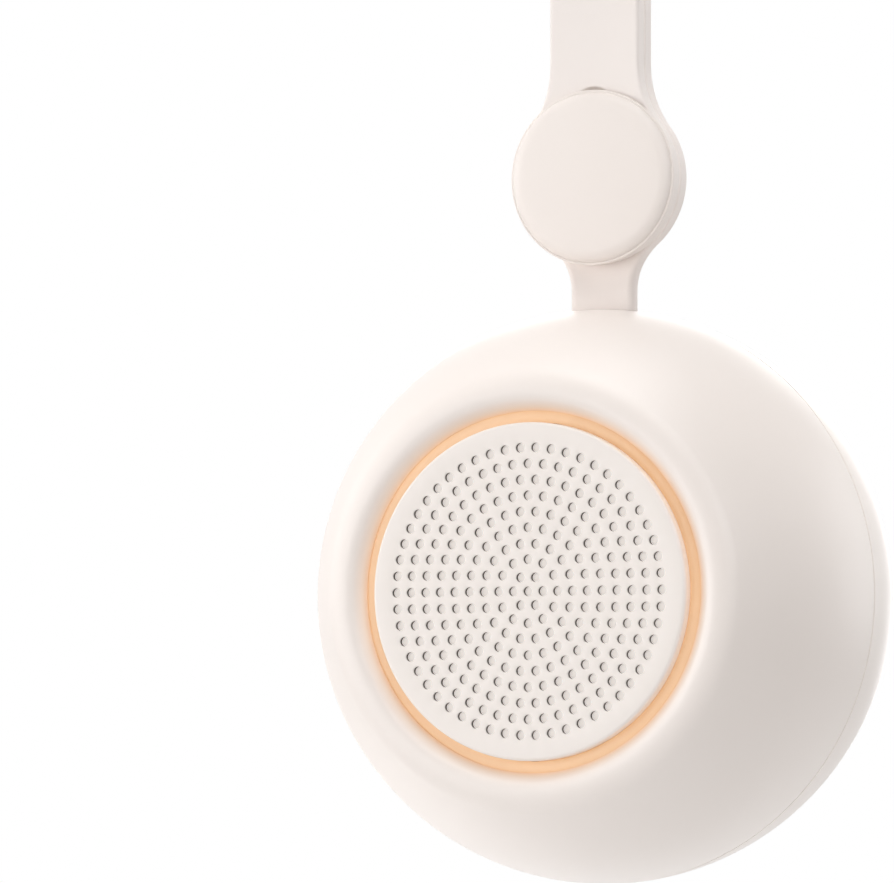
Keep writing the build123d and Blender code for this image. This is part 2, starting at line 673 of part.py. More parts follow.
coil_front_f = cone_back_f + CONE_T
coil_back_f = MAGNET_FRONT_F - SLIP
with BuildPart() as voice_coil:
    with BuildSketch(facing(coil_back_f)):
        Circle(COIL_R)
        Circle(COIL_R - COIL_T, mode=Mode.SUBTRACT)
    extrude(amount=coil_front_f - coil_back_f)
finish(voice_coil.part, "voice_coil")

cap_ball_r = crown_radius(COIL_R, DUST_CAP_H)
cap_foot_f = coil_front_f + SLIP
cap_centre = (0, cap_foot_f + DUST_CAP_H - cap_ball_r)
with BuildPart() as dust_cap:
    with BuildSketch(HALF_SECTION):
        with BuildLine():
            low = degrees(acos(COIL_R / cap_ball_r))
            low_under = degrees(asin((cap_ball_r - DUST_CAP_H) / (cap_ball_r - CONE_T)))
            over = CenterArc(cap_centre, cap_ball_r, low, 90 - low)
            under = CenterArc(cap_centre, cap_ball_r - CONE_T, low_under, 90 - low_under)
            Line(over @ 1, under @ 1)
            Line(over @ 0, under @ 0)
        make_face()
    revolve(axis=CASE_AXIS)
finish(dust_cap.part, "dust_cap")

with BuildPart() as speaker_spider:
    spider_f = BASKET_BACK_F + BASKET_T
    with BuildSketch(facing(spider_f)):
        Circle(BASKET_BACK_R - BASKET_T - SLIP)
        Circle(COIL_R + SLIP, mode=Mode.SUBTRACT)
    extrude(amount=SPIDER_T)
finish(speaker_spider.part, "speaker_spider")

with BuildPart() as top_plate:
    with BuildSketch(facing(MAGNET_FRONT_F)):
        Circle(MAGNET_R - PLATE_STEP)
        Circle(COIL_R + COIL_GAP, mode=Mode.SUBTRACT)
    extrude(amount=TOP_PLATE_T)
finish(top_plate.part, "top_plate")

with BuildPart() as speaker_magnet:
    with BuildSketch(facing(MAGNET_BACK_F)):
        Circle(MAGNET_R)
        Circle(MAGNET_BORE_R, mode=Mode.SUBTRACT)
    extrude(amount=MAGNET_T)
finish(speaker_magnet.part, "speaker_magnet")

with BuildPart() as speaker_yoke:
    with BuildSketch(facing(YOKE_BACK_F)):
        Circle(MAGNET_R - PLATE_STEP)
    extrude(amount=YOKE_T)
    with BuildSketch(facing(MAGNET_BACK_F)):
        Circle(COIL_R - COIL_T - COIL_GAP)
    extrude(amount=MAGNET_T + TOP_PLATE_T)
finish(speaker_yoke.part, "speaker_yoke")

with BuildPart() as speaker_chamber:
    with BuildSketch(facing(CHAMBER_BACK_F)):
        Circle(CHAMBER_R)
    extrude(amount=BAFFLE_BACK_F - CHAMBER_BACK_F)
    with BuildSketch(facing(CHAMBER_BACK_F + CHAMBER_WALL)):
        Circle(CHAMBER_R - CHAMBER_WALL)
    extrude(amount=BAFFLE_BACK_F - CHAMBER_BACK_F, mode=Mode.SUBTRACT)
    # way out for the loudspeaker's lead
    terminal_f = BASKET_BACK_F + TERMINAL_UP
    terminal_way = Vector(cos(radians(TERMINAL_TURN)), 0, sin(radians(TERMINAL_TURN)))
    with BuildSketch(Plane(origin=(0, CASE_BACK - terminal_f, CASE_Z), z_dir=terminal_way)):
        Circle(LEAD_R + SLIP)
    extrude(amount=2 * CHAMBER_R, mode=Mode.SUBTRACT)
finish(speaker_chamber.part, "speaker_chamber")

# ---- battery in its tray ----
tray_l = CELL_L + 2 * (TRAY_FIT + TRAY_T)
with BuildPart() as battery_tray:
    with BuildSketch(facing(CHAMBER_BACK_F)):
        RectangleRounded(tray_l, TRAY_OUT_W, CELL_ROUND + TRAY_T)
    extrude(amount=-(TRAY_T + TRAY_WALL_H))
    with BuildSketch(facing(TRAY_FLOOR_F)):
        RectangleRounded(CELL_L + 2 * TRAY_FIT, CELL_W + 2 * TRAY_FIT, CELL_ROUND)
    extrude(amount=-TRAY_WALL_H, mode=Mode.SUBTRACT)
    # gaps in the long walls, for a thumb and for the leads
    with BuildSketch(facing(TRAY_FLOOR_F)):
        Rectangle(TRAY_GAP_W, TRAY_OUT_W)
    extrude(amount=-TRAY_WALL_H, mode=Mode.SUBTRACT)
finish(battery_tray.part, "battery_tray")

with BuildPart() as battery_tape:
    with BuildSketch(facing(CELL_FRONT_F)):
        Rectangle(CELL_L - 4 * CELL_ROUND, CELL_W - 2 * CELL_ROUND)
    extrude(amount=TAPE_T)
finish(battery_tape.part, "battery_tape")

with BuildPart() as battery_cell:
    with BuildSketch(facing(CELL_FRONT_F)):
        RectangleRounded(CELL_L, CELL_W, CELL_ROUND)
    extrude(amount=-CELL_T)
    fillet(battery_cell.faces().sort_by(Axis.Y)[-1].edges(), CELL_ROUND / 2)
finish(battery_cell.part, "battery_cell")

# ---- main board and what it carries ----
board_foot_w = SOCKET_W + 2 * BOARD_FOOT_MARGIN
board_foot_z = SOCKET_MOUTH_Z + SOCKET_OVERHANG
with BuildPart() as main_board:
    with BuildSketch(facing(BOARD_BACK_F)):
        Circle(BOARD_R)
        with Locations((0, board_foot_z / 2)):
            Rectangle(board_foot_w, -board_foot_z)
        with posts():
            Circle(SLEEVE_R + SLEEVE_CLEAR, mode=Mode.SUBTRACT)
        with board_bosses():
            Circle(SMALL_SCREW_R + SLIP, mode=Mode.SUBTRACT)
    extrude(amount=BOARD_T)
finish(main_board.part, "main_board")

with BuildPart() as switches:
    with BuildSketch(facing(BOARD_BACK_F)):
        Rectangle(SWITCH_W, SWITCH_W)
        with small_buttons():
            Rectangle(SWITCH_W, SWITCH_W)
    extrude(amount=-SWITCH_BODY_T)
    with BuildSketch(facing(BOARD_BACK_F - SWITCH_BODY_T)):
        Circle(STEM_R)
        with small_buttons():
            Circle(STEM_R)
    extrude(amount=-SWITCH_NUB)
finish(switches.part, "switches")

with BuildPart() as board_chips:
    with BuildSketch(facing(BOARD_F)):
        for across, up, width, height in CHIPS:
            with Locations((across, up)):
                Rectangle(width, height)
    extrude(amount=CHIP_T)
finish(board_chips.part, "board_chips")

with BuildPart() as status_lamp:
    with BuildSketch(facing(BOARD_BACK_F)):
        with status_place():
            Rectangle(LED_SIZE, LED_H)
    extrude(amount=-LED_H)
finish(status_lamp.part, "status_lamp")

with BuildPart() as light_pipe:
    with BuildSketch(facing(PANEL_F)):
        with status_place():
            Circle(PIPE_R)
    extrude(amount=BOARD_BACK_F - LED_H - SLIP - PANEL_F)
    with BuildSketch(facing(LIP_BACK_F)):
        with status_place():
            Circle(PIPE_R + BUTTON_LIP)
    extrude(amount=BUTTON_LIP_T)
finish(light_pipe.part, "light_pipe")

with BuildPart() as board_plugs:
    with BuildSketch(facing(BOARD_F)):
        with Locations(BATTERY_PLUG, SPEAKER_PLUG, LIGHT_PLUG):
            Rectangle(PLUG_W, PLUG_H)
    extrude(amount=PLUG_T)
finish(board_plugs.part, "board_plugs")


# ---- leads ----
def lead(name, start, start_f, turn_f, plug, first=()):
    """A lead from a place on a piece, straight back to turn_f, then over to its plug."""
    plug_f = BOARD_F + PLUG_T
    points = [*first, (*start, start_f), (*start, turn_f), (*plug, (turn_f + plug_f) / 2), (*plug, plug_f)]
    places = [Vector(x, CASE_BACK - forward, CASE_Z + up) for x, up, forward in points]
    radii = []
    for before, here, after in zip(places, places[1:], places[2:]):
        run_in, run_out = here - before, after - here
        half_turn = radians(run_in.get_angle(run_out) / 2)
        radii.append(LEAD_BEND * min(run_in.length, run_out.length) / tan(half_turn))
    print(name, "bend radii", [round(radius, 1) for radius in radii])
    with BuildPart() as wire:
        with BuildLine():
            FilletPolyline(*places, radius=radii)
        with BuildSketch(Plane(origin=places[0], z_dir=places[1] - places[0])):
            Circle(LEAD_R)
        sweep()
    finish(wire.part, name)


plug_front_f = BOARD_F + PLUG_T
cell_back_f = CELL_FRONT_F - CELL_T
basket_slope = (BASKET_NECK_R - BASKET_BACK_R) / BASKET_DEPTH
terminal_r = BASKET_BACK_R + basket_slope * (TERMINAL_UP + LEAD_R) + SLIP
speaker_corner = around(CHAMBER_R + LEAD_OUT, TERMINAL_TURN)
lead("battery_lead", CELL_TAB, cell_back_f, (2 * cell_back_f + plug_front_f) / 3, BATTERY_PLUG)
lead("speaker_lead", speaker_corner, terminal_f, plug_front_f + LEAD_SLACK, SPEAKER_PLUG,
     first=[(*around(terminal_r, TERMINAL_TURN), terminal_f)])
lead("light_lead", light_exit, BAFFLE_F, plug_front_f + LEAD_SLACK, LIGHT_PLUG)

# ---- charging socket ----
with BuildPart() as socket_shell:
    with BuildSketch(Plane.XY.offset(CASE_Z + SOCKET_MOUTH_Z)):
        with Locations((0, CASE_BACK - SOCKET_F)):
            SlotOverall(SOCKET_W, SOCKET_H)
            SlotOverall(SOCKET_W - 2 * SOCKET_SHEET, SOCKET_H - 2 * SOCKET_SHEET, mode=Mode.SUBTRACT)
    extrude(amount=SOCKET_L)
finish(socket_shell.part, "socket_shell")

with BuildPart() as socket_core:
    with BuildSketch(Plane.XY.offset(CASE_Z + SOCKET_MOUTH_Z + SOCKET_L - SOCKET_SHEET)):
        with Locations((0, CASE_BACK - SOCKET_F)):
            SlotOverall(SOCKET_W - 2 * (SOCKET_SHEET + GLUE_GAP), SOCKET_H - 2 * (SOCKET_SHEET + GLUE_GAP))
    extrude(amount=-SOCKET_BACK_T)
    with BuildSketch(Plane.XY.offset(CASE_Z + SOCKET_MOUTH_Z + SOCKET_L - SOCKET_SHEET)):
        with Locations((0, CASE_BACK - SOCKET_F)):
            Rectangle(CONTACT_W, CONTACT_T)
    extrude(amount=-CONTACT_L)
finish(socket_core.part, "socket_core")

# ---- rear panel and buttons ----
with BuildPart() as rear_panel:
    with BuildSketch(facing(PANEL_F)):
        Circle(PANEL_R)
        Circle(POWER_R + BUTTON_FIT, mode=Mode.SUBTRACT)
        with small_buttons():
            Circle(BUTTON_R + BUTTON_FIT, mode=Mode.SUBTRACT)
        with status_place():
            Circle(PIPE_R + PIPE_FIT, mode=Mode.SUBTRACT)
    extrude(amount=PANEL_T)
finish(rear_panel.part, "rear_panel")


def button(name, radius, x, z):
    """A push button: dished cap through the rear wall, a lip that keeps it in, a stem."""
    half = Plane(origin=(x, CASE_BACK, CASE_Z + z), x_dir=(1, 0, 0), z_dir=(0, 0, -1))
    with BuildPart() as cap:
        with BuildSketch(half):
            with BuildLine():
                dish = RadiusArc((0, BUTTON_FACE_F + BUTTON_DISH), (radius - BUTTON_EDGE, BUTTON_FACE_F),
                                 crown_radius(radius - BUTTON_EDGE, BUTTON_DISH))
                rounding = RadiusArc(dish @ 1, (radius, BUTTON_FACE_F + BUTTON_EDGE), -BUTTON_EDGE)
                Polyline(
                    rounding @ 1,
                    (radius, LIP_BACK_F),
                    (radius + BUTTON_LIP, LIP_BACK_F),
                    (radius + BUTTON_LIP, LIP_BACK_F + BUTTON_LIP_T),
                    (STEM_R, LIP_BACK_F + BUTTON_LIP_T),
                    (STEM_R, STEM_END_F),
                    (0, STEM_END_F),
                    dish @ 0,
                )
            make_face()
        revolve(axis=Axis((x, CASE_BACK, CASE_Z + z), (0, -1, 0)))
    finish(cap.part, name)


button("power_button", POWER_R, 0, 0)
button("volume_up_button", BUTTON_R, 0, BUTTON_RING_R)
button("volume_down_button", BUTTON_R, 0, -BUTTON_RING_R)
button("sound_button", BUTTON_R, -BUTTON_RING_R, 0)
button("light_button", BUTTON_R, BUTTON_RING_R, 0)


def screws(name, seat_f, places, shank_r, head_r, head_t, reach):
    """Screws with their heads seated on seat_f; a positive reach runs forwards into the case."""
    head = -head_t if reach > 0 else head_t
    with BuildPart() as group:
        with BuildSketch(facing(seat_f)):
            with places():
                Circle(shank_r)
        extrude(amount=reach)
        with BuildSketch(facing(seat_f)):
            with places():
                Circle(head_r)
        extrude(amount=head)
    finish(group.part, name)


screws("case_screws", SCREW_SEAT_F, posts, SCREW_R, SCREW_HEAD_R, SCREW_HEAD_T, SCREW_L)
screws("baffle_screws", BAFFLE_BACK_F, ears, SMALL_SCREW_R, SMALL_HEAD_R, SMALL_HEAD_T, SMALL_SCREW_L)
screws("board_screws", BOARD_F, board_bosses, SMALL_SCREW_R, SMALL_HEAD_R, SMALL_HEAD_T, -SMALL_SCREW_L)

# ---- strap: two legs that meet at the top of the loop ----
bend_drop = sqrt((LEG_BEND_R + EYE_MID_R) ** 2 - (LEG_Y + LEG_BEND_R) ** 2)
bend_angle = degrees(acos((LEG_Y + LEG_BEND_R) / (LEG_BEND_R + EYE_MID_R)))


def leg_band(side, low_z):
    """One leg seen from the side, from low_z up and round its half of the loop; side -1 is in front."""
    bend_z = -EYE_R - bend_drop
    start = 180 if side > 0 else 0
    with BuildSketch(SIDE) as band:
        with BuildLine():
            faces = []
            for out in (-BAND_T / 2, BAND_T / 2):
                leg = Line((side * (LEG_Y + out), low_z), (side * (LEG_Y + out), bend_z))
                CenterArc((side * (LEG_Y + LEG_BEND_R), bend_z), LEG_BEND_R - out, start,
                          -side * bend_angle)
                loop = CenterArc((0, -EYE_R), EYE_MID_R + out, 180 - start - side * bend_angle,
                                 side * (90 + bend_angle))
                faces.append((leg @ 0, loop @ 1))
            Line(faces[0][0], faces[1][0])
            Line(faces[0][1], faces[1][1])
        make_face()
    return band.sketch


def is_end(edge):
    """Whether an edge bounds a square end of a leg: level, or midway over the loop."""
    box = edge.bounding_box()
    return box.size.Z < SLIP or max(-box.min.Y, box.max.Y) < SLIP


def leg_outline(with_neck):
    """Front view of a leg: band, round paddle and, on the rear leg, the neck."""
    with BuildSketch(snap_facing(STRAP_DEPTH)) as outline:
        Circle(PADDLE_R)
        with Locations((0, -PADDLE_Z / 2 + BAND_T)):
            Rectangle(BAND_W, 2 * BAND_T - PADDLE_Z)
        fillet(outline.vertices().group_by(Axis.Y)[-2], BAND_BLEND_R)
        if with_neck:
            neck_l = PADDLE_Z - FOOT_Z - FOOT_H / 2
            with Locations((0, -neck_l / 2)):
                Rectangle(NECK_W, neck_l)
            fillet(outline.vertices().group_by(Axis.Y)[1], NECK_BLEND_R)
    return outline.sketch


with BuildPart() as strap_rear_leg:
    extrude(leg_band(1, PIN_Z), amount=2 * PADDLE_R, both=True)
    extrude(leg_outline(True), amount=2 * STRAP_DEPTH, mode=Mode.INTERSECT)
    fillet(strap_rear_leg.edges().filter_by(is_end, reverse=True), STRAP_EDGE)
    with BuildSketch(Plane.XY.offset(FOOT_Z)):
        with Locations((0, LEG_Y)):
            Rectangle(FOOT_W, FOOT_T)
    extrude(amount=FOOT_H)
    with BuildSketch(SIDE):
        with Locations((LEG_Y, PIN_Z)):
            Circle(PIN_R + THREAD_GAP)
    extrude(amount=FOOT_W, both=True, mode=Mode.SUBTRACT)
    with BuildSketch(snap_facing(SNAP_BACK_Y)):
        Circle(SNAP_RING_R + GLUE_GAP)
    extrude(amount=BAND_T, mode=Mode.SUBTRACT)
finish(strap_rear_leg.part, "strap_rear_leg")

with BuildPart() as strap_front_leg:
    extrude(leg_band(-1, PADDLE_Z - PADDLE_R), amount=2 * PADDLE_R, both=True)
    extrude(leg_outline(False), amount=2 * STRAP_DEPTH, mode=Mode.INTERSECT)
    fillet(strap_front_leg.edges().filter_by(is_end, reverse=True), STRAP_EDGE)
    with BuildSketch(snap_facing(CAP_BACK_Y)):
        Circle(STUD_R + GLUE_GAP)
    extrude(amount=-BAND_T, mode=Mode.SUBTRACT)
    with BuildSketch(snap_facing(CAP_BACK_Y)):
        with Locations((0, CAP_R)):
            Circle(NOTCH_R)
    extrude(amount=-NOTCH_DEPTH, mode=Mode.SUBTRACT)
finish(strap_front_leg.part, "strap_front_leg")

with BuildPart() as strap_pin:
    with BuildSketch(SIDE.offset(-(FOOT_W / 2 + NECK_FIT + RIB_T))):
        with Locations((LEG_Y, PIN_Z)):
            Circle(PIN_R)
    extrude(amount=FOOT_W + 2 * (NECK_FIT + RIB_T))
finish(strap_pin.part, "strap_pin")

# ---- snap: cap and stud on the front leg, ring in the rear leg ----
cap_back = -CAP_BACK_Y
with BuildPart() as snap_cap:
    with BuildSketch(SNAP_SECTION):
        with BuildLine():
            crown = RadiusArc((0, cap_back + CAP_SIDE + CAP_CROWN), (CAP_R - CAP_EDGE, cap_back + CAP_SIDE),
                              crown_radius(CAP_R - CAP_EDGE, CAP_CROWN))
            turn = RadiusArc(crown @ 1, (CAP_R, cap_back + CAP_SIDE - CAP_EDGE), CAP_EDGE)
            Polyline(
                turn @ 1,
                (CAP_R, cap_back),
                (STUD_FLANGE_R + GLUE_GAP, cap_back),
                (STUD_FLANGE_R + GLUE_GAP, cap_back + STUD_FLANGE_T),
                (0, cap_back + STUD_FLANGE_T),
                crown @ 0,
            )
        make_face()
    revolve(axis=SNAP_AXIS)
finish(snap_cap.part, "snap_cap")

with BuildPart() as snap_stud:
    with BuildSketch(snap_facing(CAP_BACK_Y)):
        Circle(STUD_FLANGE_R)
    extrude(amount=STUD_FLANGE_T)
    with BuildSketch(snap_facing(CAP_BACK_Y)):
        Circle(STUD_R)
    extrude(amount=-(SNAP_BACK_Y - CAP_BACK_Y - SLIP))
    chamfer(snap_stud.edges().sort_by(Axis.Y)[-1], STUD_CHAMFER)
finish(snap_stud.part, "snap_stud")

with BuildPart() as snap_ring:
    with BuildSketch(snap_facing(SNAP_BACK_Y)):
        Circle(SNAP_RING_R)
        Circle(STUD_R + STUD_PLAY, mode=Mode.SUBTRACT)
    extrude(amount=BAND_T)
    with BuildSketch(snap_facing(SNAP_BACK_Y)):
        Circle(SNAP_LIP_R)
        Circle(STUD_R + STUD_PLAY, mode=Mode.SUBTRACT)
    extrude(amount=-SNAP_LIP_T)
finish(snap_ring.part, "snap_ring")
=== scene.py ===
import json
import math

import bmesh
import bpy
import numpy as np
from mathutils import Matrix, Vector
from mathutils.geometry import delaunay_2d_cdt


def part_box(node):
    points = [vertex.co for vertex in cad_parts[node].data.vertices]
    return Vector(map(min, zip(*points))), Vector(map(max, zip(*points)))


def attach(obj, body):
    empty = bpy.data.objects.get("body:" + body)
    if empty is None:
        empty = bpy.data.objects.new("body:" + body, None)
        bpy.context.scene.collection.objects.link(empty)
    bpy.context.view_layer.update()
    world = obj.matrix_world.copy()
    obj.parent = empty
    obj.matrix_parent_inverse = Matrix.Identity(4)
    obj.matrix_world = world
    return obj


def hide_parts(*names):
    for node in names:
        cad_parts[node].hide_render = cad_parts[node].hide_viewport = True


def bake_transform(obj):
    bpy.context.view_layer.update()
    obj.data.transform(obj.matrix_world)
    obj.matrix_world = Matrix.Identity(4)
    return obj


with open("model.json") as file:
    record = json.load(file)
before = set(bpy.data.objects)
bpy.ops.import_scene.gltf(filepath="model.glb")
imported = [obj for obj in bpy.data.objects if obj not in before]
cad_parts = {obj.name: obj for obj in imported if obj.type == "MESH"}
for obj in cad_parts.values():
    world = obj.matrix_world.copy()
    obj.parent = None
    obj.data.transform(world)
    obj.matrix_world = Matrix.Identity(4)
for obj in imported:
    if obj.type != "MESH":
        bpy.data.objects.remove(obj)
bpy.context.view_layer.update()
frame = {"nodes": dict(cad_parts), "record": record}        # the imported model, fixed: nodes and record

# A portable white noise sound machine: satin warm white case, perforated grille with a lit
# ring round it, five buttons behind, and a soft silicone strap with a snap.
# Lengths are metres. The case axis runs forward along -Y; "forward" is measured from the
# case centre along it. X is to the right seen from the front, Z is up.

MM = 0.001
SHELL_LOW, SHELL_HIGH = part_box("front_shell")
REAR_LOW, REAR_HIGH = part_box("rear_shell")
GRILLE_LOW, GRILLE_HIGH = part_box("grille_disc")
RING_LOW, RING_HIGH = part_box("light_ring")
PANEL_LOW, PANEL_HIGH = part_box("rear_panel")
SOCKET_LOW, SOCKET_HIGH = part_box("socket_shell")
CAP_LOW, CAP_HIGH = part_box("snap_cap")
LEG_LOW, LEG_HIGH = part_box("strap_front_leg")

# ---- case ----
CASE_R = (SHELL_HIGH.x - SHELL_LOW.x) / 2
CASE_Y = 1.15 * MM          # the case centre lies this far behind the strap's middle plane
CASE_Z = (GRILLE_LOW.z + GRILLE_HIGH.z) / 2
WALL = 2.2 * MM
INNER_R = CASE_R - WALL
TONGUE_H = 1.4 * MM         # the rear shell's tongue reaches this far in front of the parting plane
SEAM_FORWARD = CASE_Y - REAR_LOW.y - TONGUE_H
SEAM_R = math.sqrt(CASE_R**2 - SEAM_FORWARD**2)
SEAM_BEVEL = 0.22 * MM      # half the width of the groove at the parting line
SEAM_DEPTH = 0.42 * MM
TURN_STEPS = 192

# ---- grille ----
GRILLE_R = (GRILLE_HIGH.x - GRILLE_LOW.x) / 2
GRILLE_FORWARD = CASE_Y - GRILLE_LOW.y
GRILLE_EDGE = 0.5 * MM
GRILLE_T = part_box("dust_mesh")[0].y - GRILLE_LOW.y
SKIRT_W = 1.4 * MM
HOLE_R = 0.64 * MM
HOLE_LIP = 0.1 * MM
HOLE_STEPS = 20
HOLE_TURN = 0.7             # radians from one hole's points to the next one's, so that none line up
HOLE_SHADE = (0.04 * MM, 0.28 * MM)         # the painted shade on a hole's wall grows between these depths
SHADE_END = (GRILLE_R - 1.5 * MM, GRILLE_R - 1.3 * MM)      # beyond the holes, the painted shade ends
RING_PITCH = 2.17 * MM
HOLE_RINGS = 9

# ---- crest, hollow and lit ring; places are (distance from the axis, forward) ----
CREST_R = GRILLE_R + 4.2 * MM
CREST_FORWARD = CASE_Y - SHELL_LOW.y
INNER_CREST_ANGLE = 86      # the shell's inner wall ends short of the crest's top, at 90 degrees
MOAT_MID = (CREST_R - 1.5 * MM, CREST_FORWARD - 0.68 * MM)
MOAT_FOOT = (CREST_R - 2.6 * MM, CREST_FORWARD - 1.75 * MM)
SEAT_FORWARD = MOAT_FOOT[1] - 1.2 * MM
SEAT_R = CREST_R - 0.5 * MM
RING_DOME = 0.12 * MM
RING_PLAY = 0.04 * MM       # between the disc and the lit ring
RING_SLIP = 0.05 * MM       # between the lit ring's flange and its seat

# ---- rear side ----
REAR_FORWARD = CASE_Y - REAR_HIGH.y
REAR_EDGE_R = 4.0 * MM
PANEL_FIT = 0.1 * MM
PANEL_RECESS_R = (PANEL_HIGH.x - PANEL_LOW.x) / 2 + PANEL_FIT
PANEL_RECESS = 1.5 * MM
PANEL_RIM_R = 0.25 * MM     # rounding of the recess's rim
RECESS_FORWARD = REAR_FORWARD + PANEL_RECESS
FLOOR_FORWARD = RECESS_FORWARD + 1.7 * MM
BUTTON_FIT = 0.15 * MM
BUTTON_LIP_W = 0.8 * MM
BUTTON_LIP_GAP = 0.1 * MM
BUTTON_FACE = REAR_FORWARD + 0.2 * MM
BUTTON_DISH = 0.3 * MM
BUTTON_EDGE = 0.4 * MM
BUTTON_BACK = FLOOR_FORWARD + 0.9 * MM
STEM_R = 1.5 * MM
STEM_H = 0.8 * MM
BORE_OVER = 1 * MM          # a bore's cutter reaches this far past both faces
SIGN_W = 0.42 * MM
SIGN_H = 0.05 * MM
SIGN_COLUMNS = 7
SOCKET_FLAT_W = 3.4 * MM    # the flat round the socket is this much wider than the socket
SOCKET_FLAT_DROP = 0.2 * MM
SOCKET_FIT = 0.3 * MM

# ---- strap ----
BAND_T = 2.5 * MM
LEG_Y = 1.35 * MM
BAND_HALF = 6.7 * MM
NECK_HALF = 4.75 * MM
NECK_FIT = 0.3 * MM
NECK_CORNER_R = 0.3 * MM
NECK_CUT = (-8 * MM, 4 * MM)        # the neck's slot in the case, below and above the case's top
PADDLE_R = (LEG_HIGH.x - LEG_LOW.x) / 2
PADDLE_Z = (CAP_LOW.z + CAP_HIGH.z) / 2
BAND_BLEND = 15.0 * MM
NECK_BLEND = 8.5 * MM
EYE_R = 7.5 * MM
EYE_MID_R = EYE_R + BAND_T / 2
LEG_BEND_R = 20.0 * MM
STRAP_FOOT_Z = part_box("strap_rear_leg")[0].z + 2.0 * MM
STRAP_EDGE = 0.45 * MM      # rounding along the band, and along the neck
NECK_EDGE = 0.9 * MM
EDGE_STEPS = 8
FACE_COLUMNS = 44
FOOT_ROWS, BAND_ROWS, LOOP_ROWS = 9, 61, 121
STRAIGHT_STEPS, BEND_STEPS, LOOP_STEPS = 200, 240, 500
SNAP_SEAT_R = 5.22 * MM     # hole in the rear leg for the snap ring

# ---- snap cap, and the notch over it ----
CAP_R = (CAP_HIGH.x - CAP_LOW.x) / 2
CAP_BACK = -CAP_HIGH.y
CAP_FRONT = -CAP_LOW.y
CAP_CROWN = 0.45 * MM
CAP_ROLL_W = 1.7 * MM       # the face rolls off over this width and depth
CAP_ROLL_H = 1.0 * MM
CAP_FLANGE_W = 0.32 * MM    # thin flange behind the roll
CAP_FLANGE_T = 0.35 * MM
CAP_GAP = 0.28 * MM         # undercut between the flange and the strap
CAP_GAP_W = 1.0 * MM
NOTCH_HALF = 1.9 * MM
NOTCH_H = 0.85 * MM
NOTCH_DEPTH = 0.6 * MM
NOTCH_TUCK = 0.25 * MM      # the notch starts this far under the cap's edge
NOTCH_REACH = 1.5 * MM      # half the stretch of finer rows round the cap's edge
NOTCH_ROW = 0.1 * MM
ROW_APART = 0.03 * MM       # rows nearer than this are one


# ==================== Meshes ====================
def grid_faces(rows, columns, close_rows=False, close_columns=False):
    """Quads of a grid of rows x columns points, numbered row by row; a closed way joins its last
    line to its first."""
    i = np.arange(rows if close_rows else rows - 1)
    j = np.arange(columns if close_columns else columns - 1)
    i, j = (a.ravel() for a in np.meshgrid(i, j, indexing="ij"))
    i1, j1 = (i + 1) % rows, (j + 1) % columns
    return np.stack([i * columns + j, i * columns + j1, i1 * columns + j1, i1 * columns + j], axis=1)


def tidy_mesh(mesh):
    """Joins points that coincide and turns every face outwards."""
    work = bmesh.new()
    work.from_mesh(mesh)
    bmesh.ops.remove_doubles(work, verts=work.verts, dist=1e-7)
    bmesh.ops.recalc_face_normals(work, faces=work.faces)
    work.to_mesh(mesh)
    work.free()


def new_piece(name, points, faces, sharp_angle=35.0, is_flat=None):
    """A mesh piece from points and faces; is_flat marks faces that keep their own plane's shading."""
    mesh = bpy.data.meshes.new(name)
    mesh.from_pydata(np.asarray(points).tolist(), [], [list(map(int, f)) for f in faces])
    mesh.validate()
    piece = bpy.data.objects.new(name, mesh)
    bpy.context.scene.collection.objects.link(piece)
    tidy_mesh(mesh)
    smooth = np.ones(len(mesh.polygons), bool) if is_flat is None else ~is_flat
    mesh.polygons.foreach_set("use_smooth", smooth)
    mesh.set_sharp_from_angle(angle=math.radians(sharp_angle))
    return piece


def carve(piece, cutters, sharp_angle=28):
    """Cuts the cutters out of the piece and removes them."""
    for cutter in cutters:
        cut = piece.modifiers.new("cut", "BOOLEAN")
        cut.operation = "DIFFERENCE"
        cut.solver = "EXACT"
        cut.object = cutter
    bpy.context.view_layer.update()
    seen = piece.evaluated_get(bpy.context.evaluated_depsgraph_get())
    mesh = bpy.data.meshes.new_from_object(seen)
    piece.modifiers.clear()
    piece.data = mesh
    for cutter in cutters:
        bpy.data.objects.remove(cutter)
    mesh.polygons.foreach_set("use_smooth", np.ones(len(mesh.polygons), bool))
    mesh.set_sharp_from_angle(angle=math.radians(sharp_angle))
    return piece


def arc(centre, radius, start, end, steps):
    """Points of a circle round centre from one angle to another, in degrees."""
    a = np.radians(np.linspace(start, end, steps))
    return np.stack([centre[0] + radius * np.cos(a), centre[1] + radius * np.sin(a)], axis=1)


def round_units(steps, turn=0.0):
    """Unit vectors evenly round the circle, the first at the angle turn."""
    a = np.linspace(0, 2 * math.pi, steps, endpoint=False) + turn
    return np.stack([np.cos(a), np.sin(a)], axis=-1)


def tangent_arc(start, heading, end, steps):
    """The one circle that leaves start along heading and passes end. Its centre lies square to
    the heading, at |end - start|^2 / (2 x offset) from start. Returns points and last heading."""
    start, end = np.array(start, float), np.array(end, float)
    heading = np.array(heading, float) / np.hypot(*heading)
    side = np.array([-heading[1], heading[0]])
    chord = end - start
    radius = chord @ chord / (2 * chord @ side)
    centre = start + side * radius
    a0 = math.atan2(*(start - centre)[::-1])
    a1 = math.atan2(*(end - centre)[::-1])
    turn = (a1 - a0 + math.pi) % (2 * math.pi) - math.pi
    a = a0 + turn * np.linspace(0, 1, steps)
    points = centre + abs(radius) * np.stack([np.cos(a), np.sin(a)], axis=1)
    last = (end - centre) / abs(radius)
    return points, np.array([-last[1], last[0]]) * math.copysign(1, turn)


